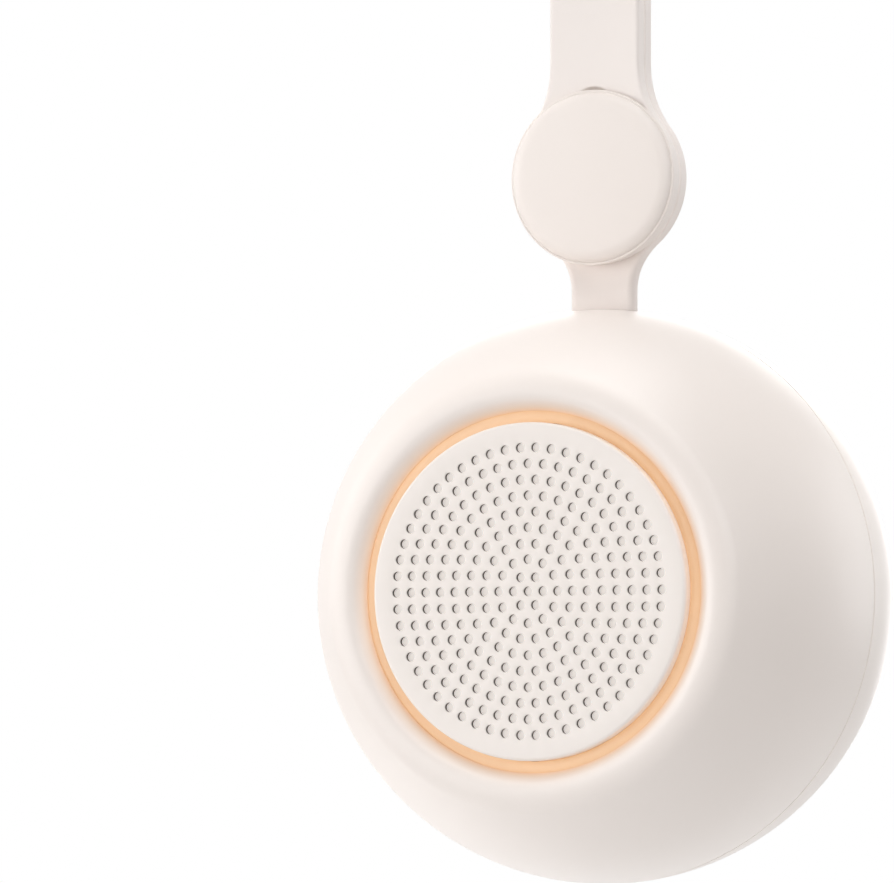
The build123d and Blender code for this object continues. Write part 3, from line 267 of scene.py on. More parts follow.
def rounded(corners, steps=5):
    """A closed outline through corners (x, y, r), each corner rounded by an arc of radius r that
    starts r x tan(half the turn) before the corner."""
    count = len(corners)
    out = []
    for k, (x, y, r) in enumerate(corners):
        here = np.array([x, y])
        before = np.array(corners[k - 1][:2]) - here
        after = np.array(corners[(k + 1) % count][:2]) - here
        if r <= 0:
            out.append(here[None, :])
            continue
        before, after = before / np.hypot(*before), after / np.hypot(*after)
        half = math.acos(np.clip(before @ after, -1, 1)) / 2
        start = here + before * r / math.tan(half)
        points, _ = tangent_arc(start, -before, here + after * r / math.tan(half), steps)
        out.append(points)
    return np.concatenate(out)


def turned(name, profile, centre_x=0.0, centre_y=CASE_Y, centre_z=CASE_Z, steps=TURN_STEPS):
    """A closed profile of (radius, forward) points turned round an axis along Y: each point goes
    to (radius x sin a, -forward, radius x cos a) for a from 0 to a full turn."""
    profile = np.asarray(profile)
    a = np.linspace(0, 2 * math.pi, steps, endpoint=False)[:, None]
    x = centre_x + profile[:, 0] * np.sin(a)
    y = centre_y - profile[:, 1] + 0 * a
    z = centre_z + profile[:, 0] * np.cos(a)
    points = np.stack([x, y, z], axis=-1).reshape(-1, 3)
    return new_piece(name, points, grid_faces(steps, len(profile), True, True))


def oval(width, depth, y):
    """Outline with round ends, width along X and depth along Y."""
    r = depth / 2
    right, left = arc((width / 2 - r, y), r, -90, 90, 24), arc((-width / 2 + r, y), r, 90, 270, 24)
    return np.concatenate([right, left])


def upright_cutter(name, outline, low, high):
    """A solid of the outline in X and Y, from one height to another."""
    count = len(outline)
    points = np.concatenate([np.column_stack([outline, np.full(count, z)]) for z in (low, high)])
    faces = [list(f) for f in grid_faces(2, count, False, True)]
    faces += [list(range(count))[::-1], list(range(count, 2 * count))]
    return new_piece(name, points, faces)


def neck_cutter():
    """Slot for the strap's neck through the top of the case."""
    half_w, half_d = NECK_HALF + NECK_FIT / 2, (BAND_T + NECK_FIT) / 2
    outline = rounded([(sx * half_w, LEG_Y + sy * half_d, NECK_CORNER_R)
                       for sx, sy in ((1, -1), (1, 1), (-1, 1), (-1, -1))])
    return upright_cutter("neck_cut", outline, *(CASE_Z + CASE_R + way for way in NECK_CUT))


def bore_cutter(name, radius, x, z, low_forward, high_forward):
    """A round solid along Y for a bore, x and z from the case axis."""
    profile = [(0, low_forward), (radius, low_forward), (radius, high_forward), (0, high_forward)]
    return turned(name, profile, centre_x=x, centre_z=CASE_Z + z, steps=64)


# ==================== Front: case, lit ring and grille ====================
def case_front():
    """Front half of the case: sphere, shoulder tangent to it, crest, dished hollow down to the
    lit ring's seat, and the same line one wall further in."""
    shoulder_r = (CASE_R**2 - CREST_R**2 - CREST_FORWARD**2) / (2 * (CASE_R - CREST_FORWARD))
    shoulder_f = CREST_FORWARD - shoulder_r
    seam_angle = math.degrees(math.asin((SEAM_FORWARD + SEAM_BEVEL) / CASE_R))
    turn_angle = math.degrees(math.atan2(shoulder_f, CREST_R))
    inner_seam_angle = math.degrees(math.asin(SEAM_FORWARD / INNER_R))
    crest, heading = tangent_arc((CREST_R, CREST_FORWARD), (-1, 0), MOAT_MID, 12)
    hollow, _ = tangent_arc(MOAT_MID, heading, MOAT_FOOT, 12)
    profile = np.concatenate([
        arc((0, 0), CASE_R, seam_angle, turn_angle, 50),
        arc((CREST_R, shoulder_f), shoulder_r, turn_angle, 90, 22)[1:],
        crest[1:],
        hollow[1:],
        [(MOAT_FOOT[0], SEAT_FORWARD), (SEAT_R, SEAT_FORWARD)],
        arc((CREST_R, shoulder_f), shoulder_r - WALL, INNER_CREST_ANGLE, turn_angle, 12),
        arc((0, 0), INNER_R, turn_angle, inner_seam_angle, 30)[1:],
        [(SEAM_R - SEAM_DEPTH, SEAM_FORWARD)],
    ])
    return carve(turned("case_front", profile), [neck_cutter()])


def light_ring():
    """Light ring: its face is a low arc between the inner and outer radius, then the flange."""
    low, high = CASE_Y - RING_HIGH.y, CASE_Y - RING_LOW.y
    inner, outer = GRILLE_R + RING_PLAY, MOAT_FOOT[0]
    flange_r, flange_f = (RING_HIGH.x - RING_LOW.x) / 2, SEAT_FORWARD - RING_SLIP
    share = np.linspace(-1, 1, 13)
    face = np.column_stack([(inner + outer) / 2 + (outer - inner) / 2 * share, high - RING_DOME * share**2])
    back = [(outer, flange_f), (flange_r, flange_f), (flange_r, low), (inner, low)]
    return turned("glow_ring", np.concatenate([face, back]))


def hole_centres():
    """One hole in the middle, then ring n with 6n holes at n times the pitch."""
    return np.concatenate([np.zeros((1, 2)), *(n * RING_PITCH * round_units(6 * n)
                                               for n in range(1, HOLE_RINGS + 1))])


def face_triangles(outline, hole_rims):
    """Triangles between the outer circle and the hole rims, as numbers into the circle's points
    and then the rims'. Those with all three corners on one hole would fill it and are left out."""
    flat = np.concatenate([outline, hole_rims.reshape(-1, 2)])
    holes, steps = hole_rims.shape[:2]
    loops = [np.arange(len(outline))[None, :], len(outline) + np.arange(holes * steps).reshape(holes, steps)]
    edges = np.concatenate([np.stack([loop, np.roll(loop, -1, axis=1)], axis=-1).reshape(-1, 2)
                            for loop in loops])
    _, _, triangles, order, _, _ = delaunay_2d_cdt(
        [Vector(p) for p in (flat / MM).tolist()], edges.tolist(), [], 0, 1e-7)
    given = np.array([o[0] for o in order])
    triangles = given[np.array(triangles)]
    owner = (triangles - len(outline)) // steps
    filling = (owner >= 0).all(axis=1) & (owner == owner[:, :1]).all(axis=1)
    return triangles[~filling]


def hole_walls(centres, unit):
    """Points (x, up, depth) and quads of all the holes: the lip has the radius r + lip x
    (1 - sin p) at the depth lip x (1 - cos p), and the wall follows."""
    turn = np.radians(np.linspace(0, 90, 4))
    radii = np.concatenate([HOLE_R + HOLE_LIP * (1 - np.sin(turn)), [HOLE_R]])
    depths = np.concatenate([HOLE_LIP * (1 - np.cos(turn)), [GRILLE_T]])
    ring = centres[None, :, None, :] + unit[None] * radii[:, None, None, None]
    depth = np.broadcast_to(depths[:, None, None, None], ring.shape[:3] + (1,))
    index = np.arange(depth.size).reshape(depth.shape[:3])
    after = np.roll(index, -1, axis=2)
    quads = np.stack([index[:-1], after[:-1], after[1:], index[1:]], axis=-1).reshape(-1, 4)
    return np.concatenate([ring, depth], axis=3).reshape(-1, 3), quads


def disc_rim(unit):
    """Points (x, up, depth) and quads of the disc's rounded edge and its skirt."""
    face_r = GRILLE_R - GRILLE_EDGE
    bottom = GRILLE_FORWARD - (CASE_Y - GRILLE_HIGH.y)
    rim = np.concatenate([
        [(face_r, 0.0)],
        arc((face_r, GRILLE_EDGE), GRILLE_EDGE, -90, 0, 7)[1:],
        [(GRILLE_R, bottom), (GRILLE_R - SKIRT_W, bottom), (GRILLE_R - SKIRT_W, GRILLE_T)],
    ])
    points = np.stack([unit[:, None, 0] * rim[:, 0], unit[:, None, 1] * rim[:, 0],
                       np.broadcast_to(rim[:, 1], (len(unit), len(rim)))], axis=-1)
    return points.reshape(-1, 3), grid_faces(len(unit), len(rim), True, False)


def grille():
    """Disc with rounded holes: the flat face, the same triangles turned over as its back, the
    walls of the holes, and the rim between face and back."""
    centres = hole_centres()
    unit = round_units(HOLE_STEPS, HOLE_TURN * np.arange(len(centres))[:, None])
    rim_unit = round_units(TURN_STEPS)
    face_outline = rim_unit * (GRILLE_R - GRILLE_EDGE)
    face_holes = centres[:, None, :] + unit * (HOLE_R + HOLE_LIP)
    back_holes = centres[:, None, :] + unit * HOLE_R
    face = np.concatenate([face_outline, face_holes.reshape(-1, 2)])
    back = np.concatenate([rim_unit * (GRILLE_R - SKIRT_W), back_holes.reshape(-1, 2)])
    triangles = face_triangles(face_outline, face_holes)
    wall_points, wall_quads = hole_walls(centres, unit)
    rim_points, rim_quads = disc_rim(rim_unit)

    count = len(face)
    points = np.concatenate([np.column_stack([face, np.zeros(count)]),
                             np.column_stack([back, np.full(count, GRILLE_T)]), wall_points, rim_points])
    points = np.column_stack([points[:, 0], CASE_Y - GRILLE_FORWARD + points[:, 2], CASE_Z + points[:, 1]])
    faces = [*triangles.tolist(), *(triangles[:, ::-1] + count).tolist(), *(wall_quads + 2 * count).tolist(),
             *(rim_quads + 2 * count + len(wall_points)).tolist()]
    is_flat = np.arange(len(faces)) < 2 * len(triangles)
    return new_piece("grille", points, faces, sharp_angle=40.0, is_flat=is_flat)


# ==================== Rear side: case, buttons and their signs ====================
def button_place(name):
    """Radius of a button's face, and its middle across and up from the case axis."""
    low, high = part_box(name)
    return (high.x - low.x) / 2 - BUTTON_LIP_W, (low.x + high.x) / 2, (low.z + high.z) / 2 - CASE_Z


BUTTONS = {name: button_place(name) for name in
           ("power_button", "volume_up_button", "volume_down_button", "sound_button", "light_button")}


def socket_cutters():
    """A flat round the charging socket, and the socket's own way through the wall."""
    y = (SOCKET_LOW.y + SOCKET_HIGH.y) / 2
    width, depth = SOCKET_HIGH.x - SOCKET_LOW.x, SOCKET_HIGH.y - SOCKET_LOW.y
    flat = oval(width + SOCKET_FLAT_W, depth + SOCKET_FLAT_W, y)
    way = oval(width + SOCKET_FIT, depth + SOCKET_FIT, y)
    return [upright_cutter("socket_flat", flat, CASE_Z - CASE_R, SOCKET_LOW.z - SOCKET_FLAT_DROP),
            upright_cutter("socket_way", way, CASE_Z - CASE_R, SOCKET_HIGH.z)]


def case_rear():
    """Rear half of the case: sphere, rounding, flat ring, and the recess for the button panel."""
    edge_f = REAR_FORWARD + REAR_EDGE_R
    flat_r = math.sqrt((CASE_R - REAR_EDGE_R) ** 2 - edge_f**2)
    seam_angle = math.degrees(math.asin((SEAM_FORWARD - SEAM_BEVEL) / CASE_R))
    turn_angle = math.degrees(math.atan2(edge_f, flat_r))
    floor_angle = math.degrees(math.asin(FLOOR_FORWARD / INNER_R))
    inner_seam_angle = math.degrees(math.asin(SEAM_FORWARD / INNER_R))
    shell = turned("case_rear", np.concatenate([
        arc((0, 0), CASE_R, seam_angle, turn_angle, 44),
        arc((flat_r, edge_f), REAR_EDGE_R, turn_angle, -90, 14)[1:],
        rounded([(flat_r, REAR_FORWARD, 0), (PANEL_RECESS_R, REAR_FORWARD, PANEL_RIM_R),
                 (PANEL_RECESS_R, RECESS_FORWARD, 0)])[1:],
        [(0, RECESS_FORWARD), (0, FLOOR_FORWARD)],
        arc((0, 0), INNER_R, floor_angle, inner_seam_angle, 24),
        [(SEAM_R - SEAM_DEPTH, SEAM_FORWARD)],
    ]))
    cutters = [*socket_cutters(), neck_cutter()]
    for name, (radius, x, z) in BUTTONS.items():
        cutters.append(bore_cutter(name + "_bore", radius + BUTTON_FIT, x, z,
                                   RECESS_FORWARD - BORE_OVER, FLOOR_FORWARD + BORE_OVER))
    return carve(shell, cutters)


def dish_at(r, radius):
    """Forward place of a button's dished face at a distance from its middle: a parabola."""
    return BUTTON_FACE + BUTTON_DISH * (1 - np.minimum(r / (radius - BUTTON_EDGE), 1) ** 2)


def button_cap(name, radius, x, z):
    """Push button: dished face, round edge, side, the lip behind and the stem."""
    r = np.linspace(0, radius - BUTTON_EDGE, 16)
    lip_r, lip_f = radius + BUTTON_LIP_W, FLOOR_FORWARD + BUTTON_LIP_GAP
    profile = np.concatenate([
        np.column_stack([r, dish_at(r, radius)]),
        arc((radius - BUTTON_EDGE, BUTTON_FACE + BUTTON_EDGE), BUTTON_EDGE, -90, 0, 7)[1:],
        [(radius, lip_f), (lip_r, lip_f), (lip_r, BUTTON_BACK), (STEM_R, BUTTON_BACK),
         (STEM_R, BUTTON_BACK + STEM_H), (0, BUTTON_BACK + STEM_H)],
    ])
    return turned(name.replace("_button", "_key"), profile, centre_x=x, centre_z=CASE_Z + z, steps=96)


def stroke_line(path):
    """A path with round ends: its points, and the share of the full width at each. An end reaches
    half the width x sin p beyond the path, where the share is cos p."""
    ahead = np.gradient(path, axis=0)
    ahead /= np.hypot(*ahead.T)[:, None]
    p = np.radians(np.linspace(0, 90, 6))[1:]
    grow, slim = SIGN_W / 2 * np.sin(p), np.cos(p)
    start = path[0] - ahead[0] * grow[::-1, None]
    end = path[-1] + ahead[-1] * grow[:, None]
    return np.concatenate([start, path, end]), np.concatenate([slim[::-1], np.ones(len(path)), slim])


def grid_border(rows, columns):
    """Numbers of the points on a grid's edge, once round."""
    return np.concatenate([np.arange(columns), np.arange(1, rows) * columns + columns - 1,
                           (rows - 1) * columns + np.arange(columns - 1)[::-1],
                           np.arange(1, rows - 1)[::-1] * columns])


def stroke(path, radius):
    """One stroke of a sign, carried along the path and laid on the dished face: the top rises by
    height x (1 - across^2), and the underside lies as deep in the rubber. Returns points (x, up,
    forward) and faces."""
    line, share = stroke_line(path)
    side = np.gradient(line, axis=0)
    side /= np.hypot(*side.T)[:, None]
    side = np.stack([-side[:, 1], side[:, 0]], axis=1)
    across = np.linspace(-1, 1, SIGN_COLUMNS)
    flat = line[:, None, :] + side[:, None, :] * (across * SIGN_W / 2)[None, :, None] * share[:, None, None]
    rise = SIGN_H * (1 - across**2)[None, :] * np.ones(len(line))[:, None]
    both = np.stack([flat, flat])
    forward = dish_at(np.hypot(both[..., 0], both[..., 1]), radius)
    forward = forward + np.stack([-rise, np.full_like(rise, SIGN_H)])
    top = grid_faces(*flat.shape[:2])
    size = flat.shape[0] * flat.shape[1]
    edge = grid_border(*flat.shape[:2])
    after = np.roll(edge, -1)
    wall = np.stack([edge, edge + size, after + size, after], axis=1)
    points = np.concatenate([both, forward[..., None]], axis=-1).reshape(-1, 3)
    return points, np.concatenate([top, top[:, ::-1] + size, wall])


def button_sign(name, strokes, radius, x, z):
    """Raised sign on a button, of one or more strokes."""
    points, faces, count = [], [], 0
    for path in strokes:
        shape, quads = stroke(path, radius)
        points.append(np.stack([x + shape[:, 0], CASE_Y - shape[:, 2], CASE_Z + z + shape[:, 1]], axis=-1))
        faces += (quads + count).tolist()
        count += len(shape)
    return new_piece(name, np.concatenate(points), faces, sharp_angle=50.0)


def line_points(x0, y0, x1, y1, steps=8):
    """A straight stroke in millimetres."""
    return np.column_stack([np.linspace(x0, x1, steps), np.linspace(y0, y1, steps)]) * MM


SUN_RAYS = [np.array([[math.cos(t) * 1.35, math.sin(t) * 1.35], [math.cos(t) * 1.8, math.sin(t) * 1.8]]) * MM
            for t in np.radians(np.arange(0, 360, 45))]
SIGNS = {                   # an open ring and a bar, plus, minus, a sound wave, a sun
    "power_button": [arc((0, 0), 1.55 * MM, 125, 415, 40), line_points(0, 0.7, 0, 2.1)],
    "volume_up_button": [line_points(-1.3, 0, 1.3, 0, 16), line_points(0, -1.3, 0, 1.3, 16)],
    "volume_down_button": [line_points(-1.3, 0, 1.3, 0, 16)],
    "sound_button": [line_points(-1.4, -0.5, -1.4, 0.5), line_points(-0.7, -1.1, -0.7, 1.1),
                     line_points(0, -0.7, 0, 0.7), line_points(0.7, -1.4, 0.7, 1.4),
                     line_points(1.4, -0.5, 1.4, 0.5)],
    "light_button": [arc((0, 0), 0.75 * MM, 0, 350, 32), *SUN_RAYS],
}


# ==================== Strap and snap cap ====================
def strap_path():
    """Side line of the strap, from the rear leg's foot up, over the loop and down the front leg:
    straight, an arc out, the loop's arc, and the same mirrored. Returns length, y, z and the
    outward normal, each point of which is the tangent turned a quarter."""
    reach = LEG_BEND_R + EYE_MID_R
    drop = math.sqrt(reach**2 - (LEG_Y + LEG_BEND_R) ** 2)
    bend = math.degrees(math.acos((LEG_Y + LEG_BEND_R) / reach))
    straight = np.column_stack([np.full(STRAIGHT_STEPS, LEG_Y),
                                np.linspace(STRAP_FOOT_Z, -EYE_R - drop, STRAIGHT_STEPS)])
    out = arc((LEG_Y + LEG_BEND_R, -EYE_R - drop), LEG_BEND_R, 180, 180 - bend, BEND_STEPS)[1:]
    loop = arc((0, -EYE_R), EYE_MID_R, -bend, 90, LOOP_STEPS)[1:]
    half = np.concatenate([straight, out, loop])
    line = np.concatenate([half, half[:-1][::-1] * (-1, 1)])
    length = np.concatenate([[0], np.cumsum(np.hypot(*np.diff(line, axis=0).T))])
    slope = np.gradient(line, length, axis=0)
    slope /= np.hypot(*slope.T)[:, None]
    return length, line, np.stack([slope[:, 1], -slope[:, 0]], axis=1)


PATH_LENGTH, PATH_LINE, PATH_NORMAL = strap_path()
PATH_TOP = PATH_LENGTH[-1] / 2
LOOP_START = PATH_TOP - math.radians(90) * EYE_MID_R        # where the loop is widest
LOOP_END = PATH_TOP + math.radians(90) * EYE_MID_R
REAR_PADDLE = PADDLE_Z - STRAP_FOOT_Z                       # the paddles' middles along the path
FRONT_PADDLE = PATH_LENGTH[-1] - REAR_PADDLE


def on_path(length):
    """Point and outward normal of the strap's side line at a length along it."""
    y, z = (np.interp(length, PATH_LENGTH, PATH_LINE[:, k]) for k in (0, 1))
    ny, nz = (np.interp(length, PATH_LENGTH, PATH_NORMAL[:, k]) for k in (0, 1))
    return y, z, ny, nz


def half_outline(with_neck):
    """Half width of a leg against height over the snap centre, top to bottom: band, an arc of
    the blend radius, the paddle's circle, and the neck's blend or the paddle's round end."""
    drop = math.sqrt((PADDLE_R + BAND_BLEND) ** 2 - (BAND_HALF + BAND_BLEND) ** 2)
    touch = math.degrees(math.atan2(drop, BAND_HALF + BAND_BLEND))
    blend = arc((BAND_HALF + BAND_BLEND, drop), BAND_BLEND, 180, 180 + touch, 26)
    if not with_neck:
        return np.concatenate([blend, arc((0, 0), PADDLE_R, touch, -90, 90)[1:]])
    low = math.sqrt((PADDLE_R + NECK_BLEND) ** 2 - (NECK_HALF + NECK_BLEND) ** 2)
    low_touch = math.degrees(math.atan2(low, NECK_HALF + NECK_BLEND))
    neck = arc((NECK_HALF + NECK_BLEND, -low), NECK_BLEND, 180 - low_touch, 180, 26)
    return np.concatenate([blend, arc((0, 0), PADDLE_R, touch, -low_touch, 70)[1:], neck[1:]])


def strap_section():
    """The strap's section, once round: an edge, a face, the other edge and the other face. Gives
    each point's share of the half width, what the edge takes off inwards and off the thickness,
    1 - cos p and 1 - sin p for an angle p, and its face, 1 outer or -1 inner."""
    p = np.radians(np.linspace(90, 0, EDGE_STEPS))
    v = np.linspace(-1, 1, FACE_COLUMNS)[1:-1]
    face, edge = np.ones(len(v)), np.ones(2 * EDGE_STEPS)
    edge_in = np.concatenate([1 - np.cos(p), 1 - np.cos(p[::-1])])
    edge_off = np.concatenate([1 - np.sin(p), 1 - np.sin(p[::-1])])
    edge_sign = np.repeat([1.0, -1.0], EDGE_STEPS)
    return (np.concatenate([edge, v[::-1], -edge, v]), np.concatenate([edge_in, face, edge_in, face]),
            np.concatenate([edge_off, 0 * face, edge_off, 0 * face]),
            np.concatenate([edge_sign, -face, -edge_sign, face]))


def notch_depth(x, z):
    """Depth of the finger notch over the cap: full x (3 s^2 - 2 s^3), where s is 1 less the
    squares of x and of the height over the cap's edge, each as a share of the notch's own."""
    up = z - (PADDLE_Z + CAP_R - NOTCH_TUCK)
    s = 1 - (x / NOTCH_HALF) ** 2 - (np.maximum(up, 0) / NOTCH_H) ** 2
    s = np.where(up > -NOTCH_REACH, np.clip(s, 0, 1), 0)
    return NOTCH_DEPTH * s * s * (3 - 2 * s)


def strap_surface(name, outline, end_round=False):
    """Soft strap between two ends. outline rows are (half width, length along the path). Each
    row's section is moved inwards at its edges, square to the outline, by edge x (1 - cos p).
    The edge grows from the band's to the neck's as the half width shrinks."""
    width, along = outline.T
    edge = np.interp(width, (NECK_HALF, BAND_HALF), (NECK_EDGE, STRAP_EDGE))[:, None]
    slope = np.gradient(outline, axis=0)
    slope /= np.maximum(np.hypot(*slope.T), 1e-12)[:, None]
    inward = np.stack([-np.abs(slope[:, 1]), slope[:, 0] * np.sign(slope[:, 1])], axis=1)
    if end_round:
        inward[-1] = (0, -1)
    share, inset, off, side = strap_section()
    inset = edge * inset
    x = share * np.maximum(width[:, None] + inward[:, :1] * inset, 0)
    length = along[:, None] + inward[:, 1:] * inset
    depth = side * (BAND_T / 2 - edge * off)
    y, z, ny, nz = on_path(length)
    front_face = (depth > BAND_T / 2 - 1e-6) & (length > PATH_TOP)
    depth -= np.where(front_face, notch_depth(x, z), 0)
    points = np.stack([x, y + ny * depth, z + nz * depth], axis=-1).reshape(-1, 3)
    rows, columns = x.shape
    faces = grid_faces(rows, columns, False, True).tolist()
    faces.append(list(range(columns))[::-1])
    if not end_round:
        faces.append(list(range((rows - 1) * columns, rows * columns)))
    return new_piece(name, points, faces, sharp_angle=40.0)


def even_rows(half_width, start, end, count):
    """Rows of one half width, evenly along the path."""
    return np.column_stack([np.full(count, half_width), np.linspace(start, end, count)])


def strap_rear_stretch():
    """Rear leg: neck, paddle with the hole for the snap ring, and band up to the loop."""
    paddle = half_outline(True)[::-1]
    paddle = np.column_stack([paddle[:, 0], REAR_PADDLE + paddle[:, 1]])
    foot = even_rows(NECK_HALF, 0, paddle[0, 1], FOOT_ROWS)[:-1]
    band = even_rows(BAND_HALF, paddle[-1, 1], LOOP_START, BAND_ROWS)[1:]
    piece = strap_surface("strap_rear", np.concatenate([foot, paddle, band]))
    return carve(piece, [bore_cutter("snap_seat", SNAP_SEAT_R, 0, PADDLE_Z - CASE_Z,
                                     CASE_Y - LEG_Y - BAND_T, CASE_Y - LEG_Y + BAND_T)])


def strap_loop_stretch():
    """Loop, between the two places where it is widest."""
    return strap_surface("strap_loop", even_rows(BAND_HALF, LOOP_START, LOOP_END, LOOP_ROWS))


def strap_front_stretch():
    """Front leg: band down from the loop and paddle with a round end, its rows finer at the notch."""
    paddle = half_outline(False)
    paddle = np.column_stack([paddle[:, 0], FRONT_PADDLE - paddle[:, 1]])
    heights = np.arange(PADDLE_Z + CAP_R + NOTCH_REACH, PADDLE_Z + CAP_R - NOTCH_REACH, -NOTCH_ROW)
    fine = FRONT_PADDLE - (heights - PADDLE_Z)
    fine_width = np.interp(fine, paddle[:, 1], paddle[:, 0])
    rows = np.concatenate([paddle, np.column_stack([fine_width, fine])])
    rows = rows[np.argsort(rows[:, 1], kind="stable")]
    rows = rows[np.concatenate([[True], np.hypot(*np.diff(rows, axis=0).T) > ROW_APART])]
    band = even_rows(BAND_HALF, LOOP_END, rows[0, 1], BAND_ROWS)[:-1]
    return strap_surface("strap_front", np.concatenate([band, rows]), end_round=True)


def snap_cap():
    """Cap of the snap: a face that falls with the square of the radius and rolls off through a
    quarter ellipse, a thin round-edged flange, and an undercut behind it."""
    dome_r = CAP_R - CAP_FLANGE_W
    roll_start = dome_r - CAP_ROLL_W
    turn = np.radians(np.linspace(0, 90, 19))[1:]
    inner = np.linspace(0, roll_start, 60)
    r = np.concatenate([inner, roll_start + CAP_ROLL_W * np.sin(turn)])
    drop = np.concatenate([0 * inner, CAP_ROLL_H * (1 - np.cos(turn))])
    face = np.column_stack([r, CAP_FRONT - CAP_CROWN * (r / dome_r) ** 2 - drop])
    low = CAP_BACK + CAP_GAP
    half = CAP_FLANGE_T / 2
    flange = arc((CAP_R - half, low + half), half, 90, -90, 10)
    foot = [(CAP_R - CAP_GAP_W, low), (CAP_R - CAP_GAP_W, CAP_BACK), (0, CAP_BACK)]
    return turned("snap_face", np.concatenate([face, [(dome_r, low + CAP_FLANGE_T)], flange, foot]),
                  centre_y=0.0, centre_z=PADDLE_Z)


# ==================== Materials ====================
class Socket:
    """A node output in arithmetic: each operator adds one Math node."""

    def __init__(self, tree, socket):
        self.tree, self.socket = tree, socket

    def _math(self, operation, *terms):
        node = self.tree.nodes.new("ShaderNodeMath")
        node.operation = operation
        for port, term in zip(node.inputs, terms):
            feed(port, term)
        return Socket(self.tree, node.outputs[0])

    def __add__(self, other):
        return self._math("ADD", self, other)

    def __sub__(self, other):
        return self._math("SUBTRACT", self, other)

    def __rsub__(self, other):
        return self._math("SUBTRACT", other, self)

    def __mul__(self, other):
        return self._math("MULTIPLY", self, other)

    def __truediv__(self, other):
        return self._math("DIVIDE", self, other)

    __radd__, __rmul__ = __add__, __mul__

    def root(self):
        """Square root."""
        return self._math("SQRT", self)

    def clipped(self):
        """Kept from 0 to 1."""
        return self._math("MINIMUM", self._math("MAXIMUM", self, 0.0), 1.0)

    def between(self, low, high):
        """0 below low, 1 above high, straight between."""
        return ((self - low) / (high - low)).clipped()


def feed(port, value):
    """Links a node output to a port, or sets a number or colour there."""
    if isinstance(value, Socket):
        value.tree.links.new(value.socket, port)
    else:
        port.default_value = value


class Finish:
    """A material under construction: its tree, its shader and one method for any other node."""

    def __init__(self, name):
        self.material = bpy.data.materials.new(name)
        self.material.use_nodes = True
        self.tree = self.material.node_tree
        self.shader = self.tree.nodes["Principled BSDF"]
        self.place = self.node("ShaderNodeTexCoord", output="Object")

    def node(self, kind, settings=None, output=0, **inputs):
        """Output of a new node. Settings come first; an input goes by its name, or as _0 by number."""
        node = self.tree.nodes.new(kind)
        for key, value in (settings or {}).items():
            setattr(node, key, value)
        for key, value in inputs.items():
            numbered = key[0] == "_" and key[1:].isdigit()
            feed(node.inputs[int(key[1:]) if numbered else key.replace("_", " ")], value)
        return Socket(self.tree, node.outputs[output])

    def noise(self, scale, detail=3.0, roughness=0.5):
        """Noise from 0 to 1 over the piece; scale is cells to the metre."""
        return self.node("ShaderNodeTexNoise", Vector=self.place, Scale=scale, Detail=detail,
                         Roughness=roughness)

    def mix(self, share, first, second):
        """Colour between two colours."""
        return self.node("ShaderNodeMix", {"data_type": "RGBA"}, 2, _0=share, _6=first, _7=second)

    def xyz(self):
        """The three Object coordinates."""
        first = self.node("ShaderNodeSeparateXYZ", _0=self.place)
        return [Socket(self.tree, socket) for socket in first.socket.node.outputs]

    def axes(self):
        """Distance from the case axis and place forward of the case centre."""
        x, y, z = self.xyz()
        up = z - CASE_Z
        return (x * x + up * up).root(), CASE_Y - y

    def set(self, **values):
        """Shader sockets: numbers and colours are set there, outputs are linked."""
        for key, value in values.items():
            feed(self.shader.inputs[key.replace("_", " ")], value)

    def bump(self, height, strength, distance):
        """Bump from a height, into the shader's normal."""
        self.set(Normal=self.node("ShaderNodeBump", Strength=strength, Distance=distance, Height=height))


def rgb(red, green, blue):
    """Linear colour of a screen colour given as 0 to 255."""
    level = np.array([red, green, blue]) / 255
    linear = np.where(level <= 0.04045, level / 12.92, ((level + 0.055) / 1.055) ** 2.4)
    return (*linear.tolist(), 1.0)


BLACK, WHITE = (0, 0, 0, 1), (1, 1, 1, 1)
AMBER = (1.0, 0.37, 0.04, 1.0)
RING_GLOW = 0.33            # emission of the lit ring, and the painted glow of the case at the ring and of the cloth
CASE_PAINTED_GLOW = 0.22
MESH_PAINTED_GLOW = 0.55
PAINTED_GLOW_DROP = 0.4 * MM        # the painted glow of the ring's light ends this far behind the hollow's foot
RING_LAMPS = 8.0
THREAD_TURN = 31400.0       # radians to the metre across the threads, one thread in 0.2 mm
CLOUD_SHARE, GRAIN_SHARE = 0.5, 0.15        # of the tone of moulded plastic
GRAIN_STRENGTH, GRAIN_DEPTH = 0.12, 0.02 * MM


def case_plastic():
    """Warm white satin plastic. The ring's light on the foot of the hollow is painted: there the plastic
    is tinted darker and amber and glows, less and less with the distance from the ring."""
    f = Finish("case_plastic")
    r, forward = f.axes()
    near = 1 - r.between(MOAT_FOOT[0], CREST_R)
    painted_glow = near * near * near * forward.between(MOAT_FOOT[1] - PAINTED_GLOW_DROP, MOAT_FOOT[1])
    cloud = f.noise(40.0, 2.0)
    fine = f.noise(5200.0, 3.0, 0.5)
    plain = f.mix(cloud * CLOUD_SHARE + fine * GRAIN_SHARE, rgb(247, 238, 232), rgb(241, 231, 224))
    # painted light and shade at the hollow's foot: a darker amber tint and a glow
    f.set(Base_Color=f.mix(painted_glow, plain, rgb(222, 200, 178)), Roughness=0.42 + 0.06 * (cloud - 0.5),
          Emission_Color=f.mix(painted_glow * near * near, BLACK, AMBER), Emission_Strength=CASE_PAINTED_GLOW)
    f.bump(fine, GRAIN_STRENGTH, GRAIN_DEPTH)
    return f.material


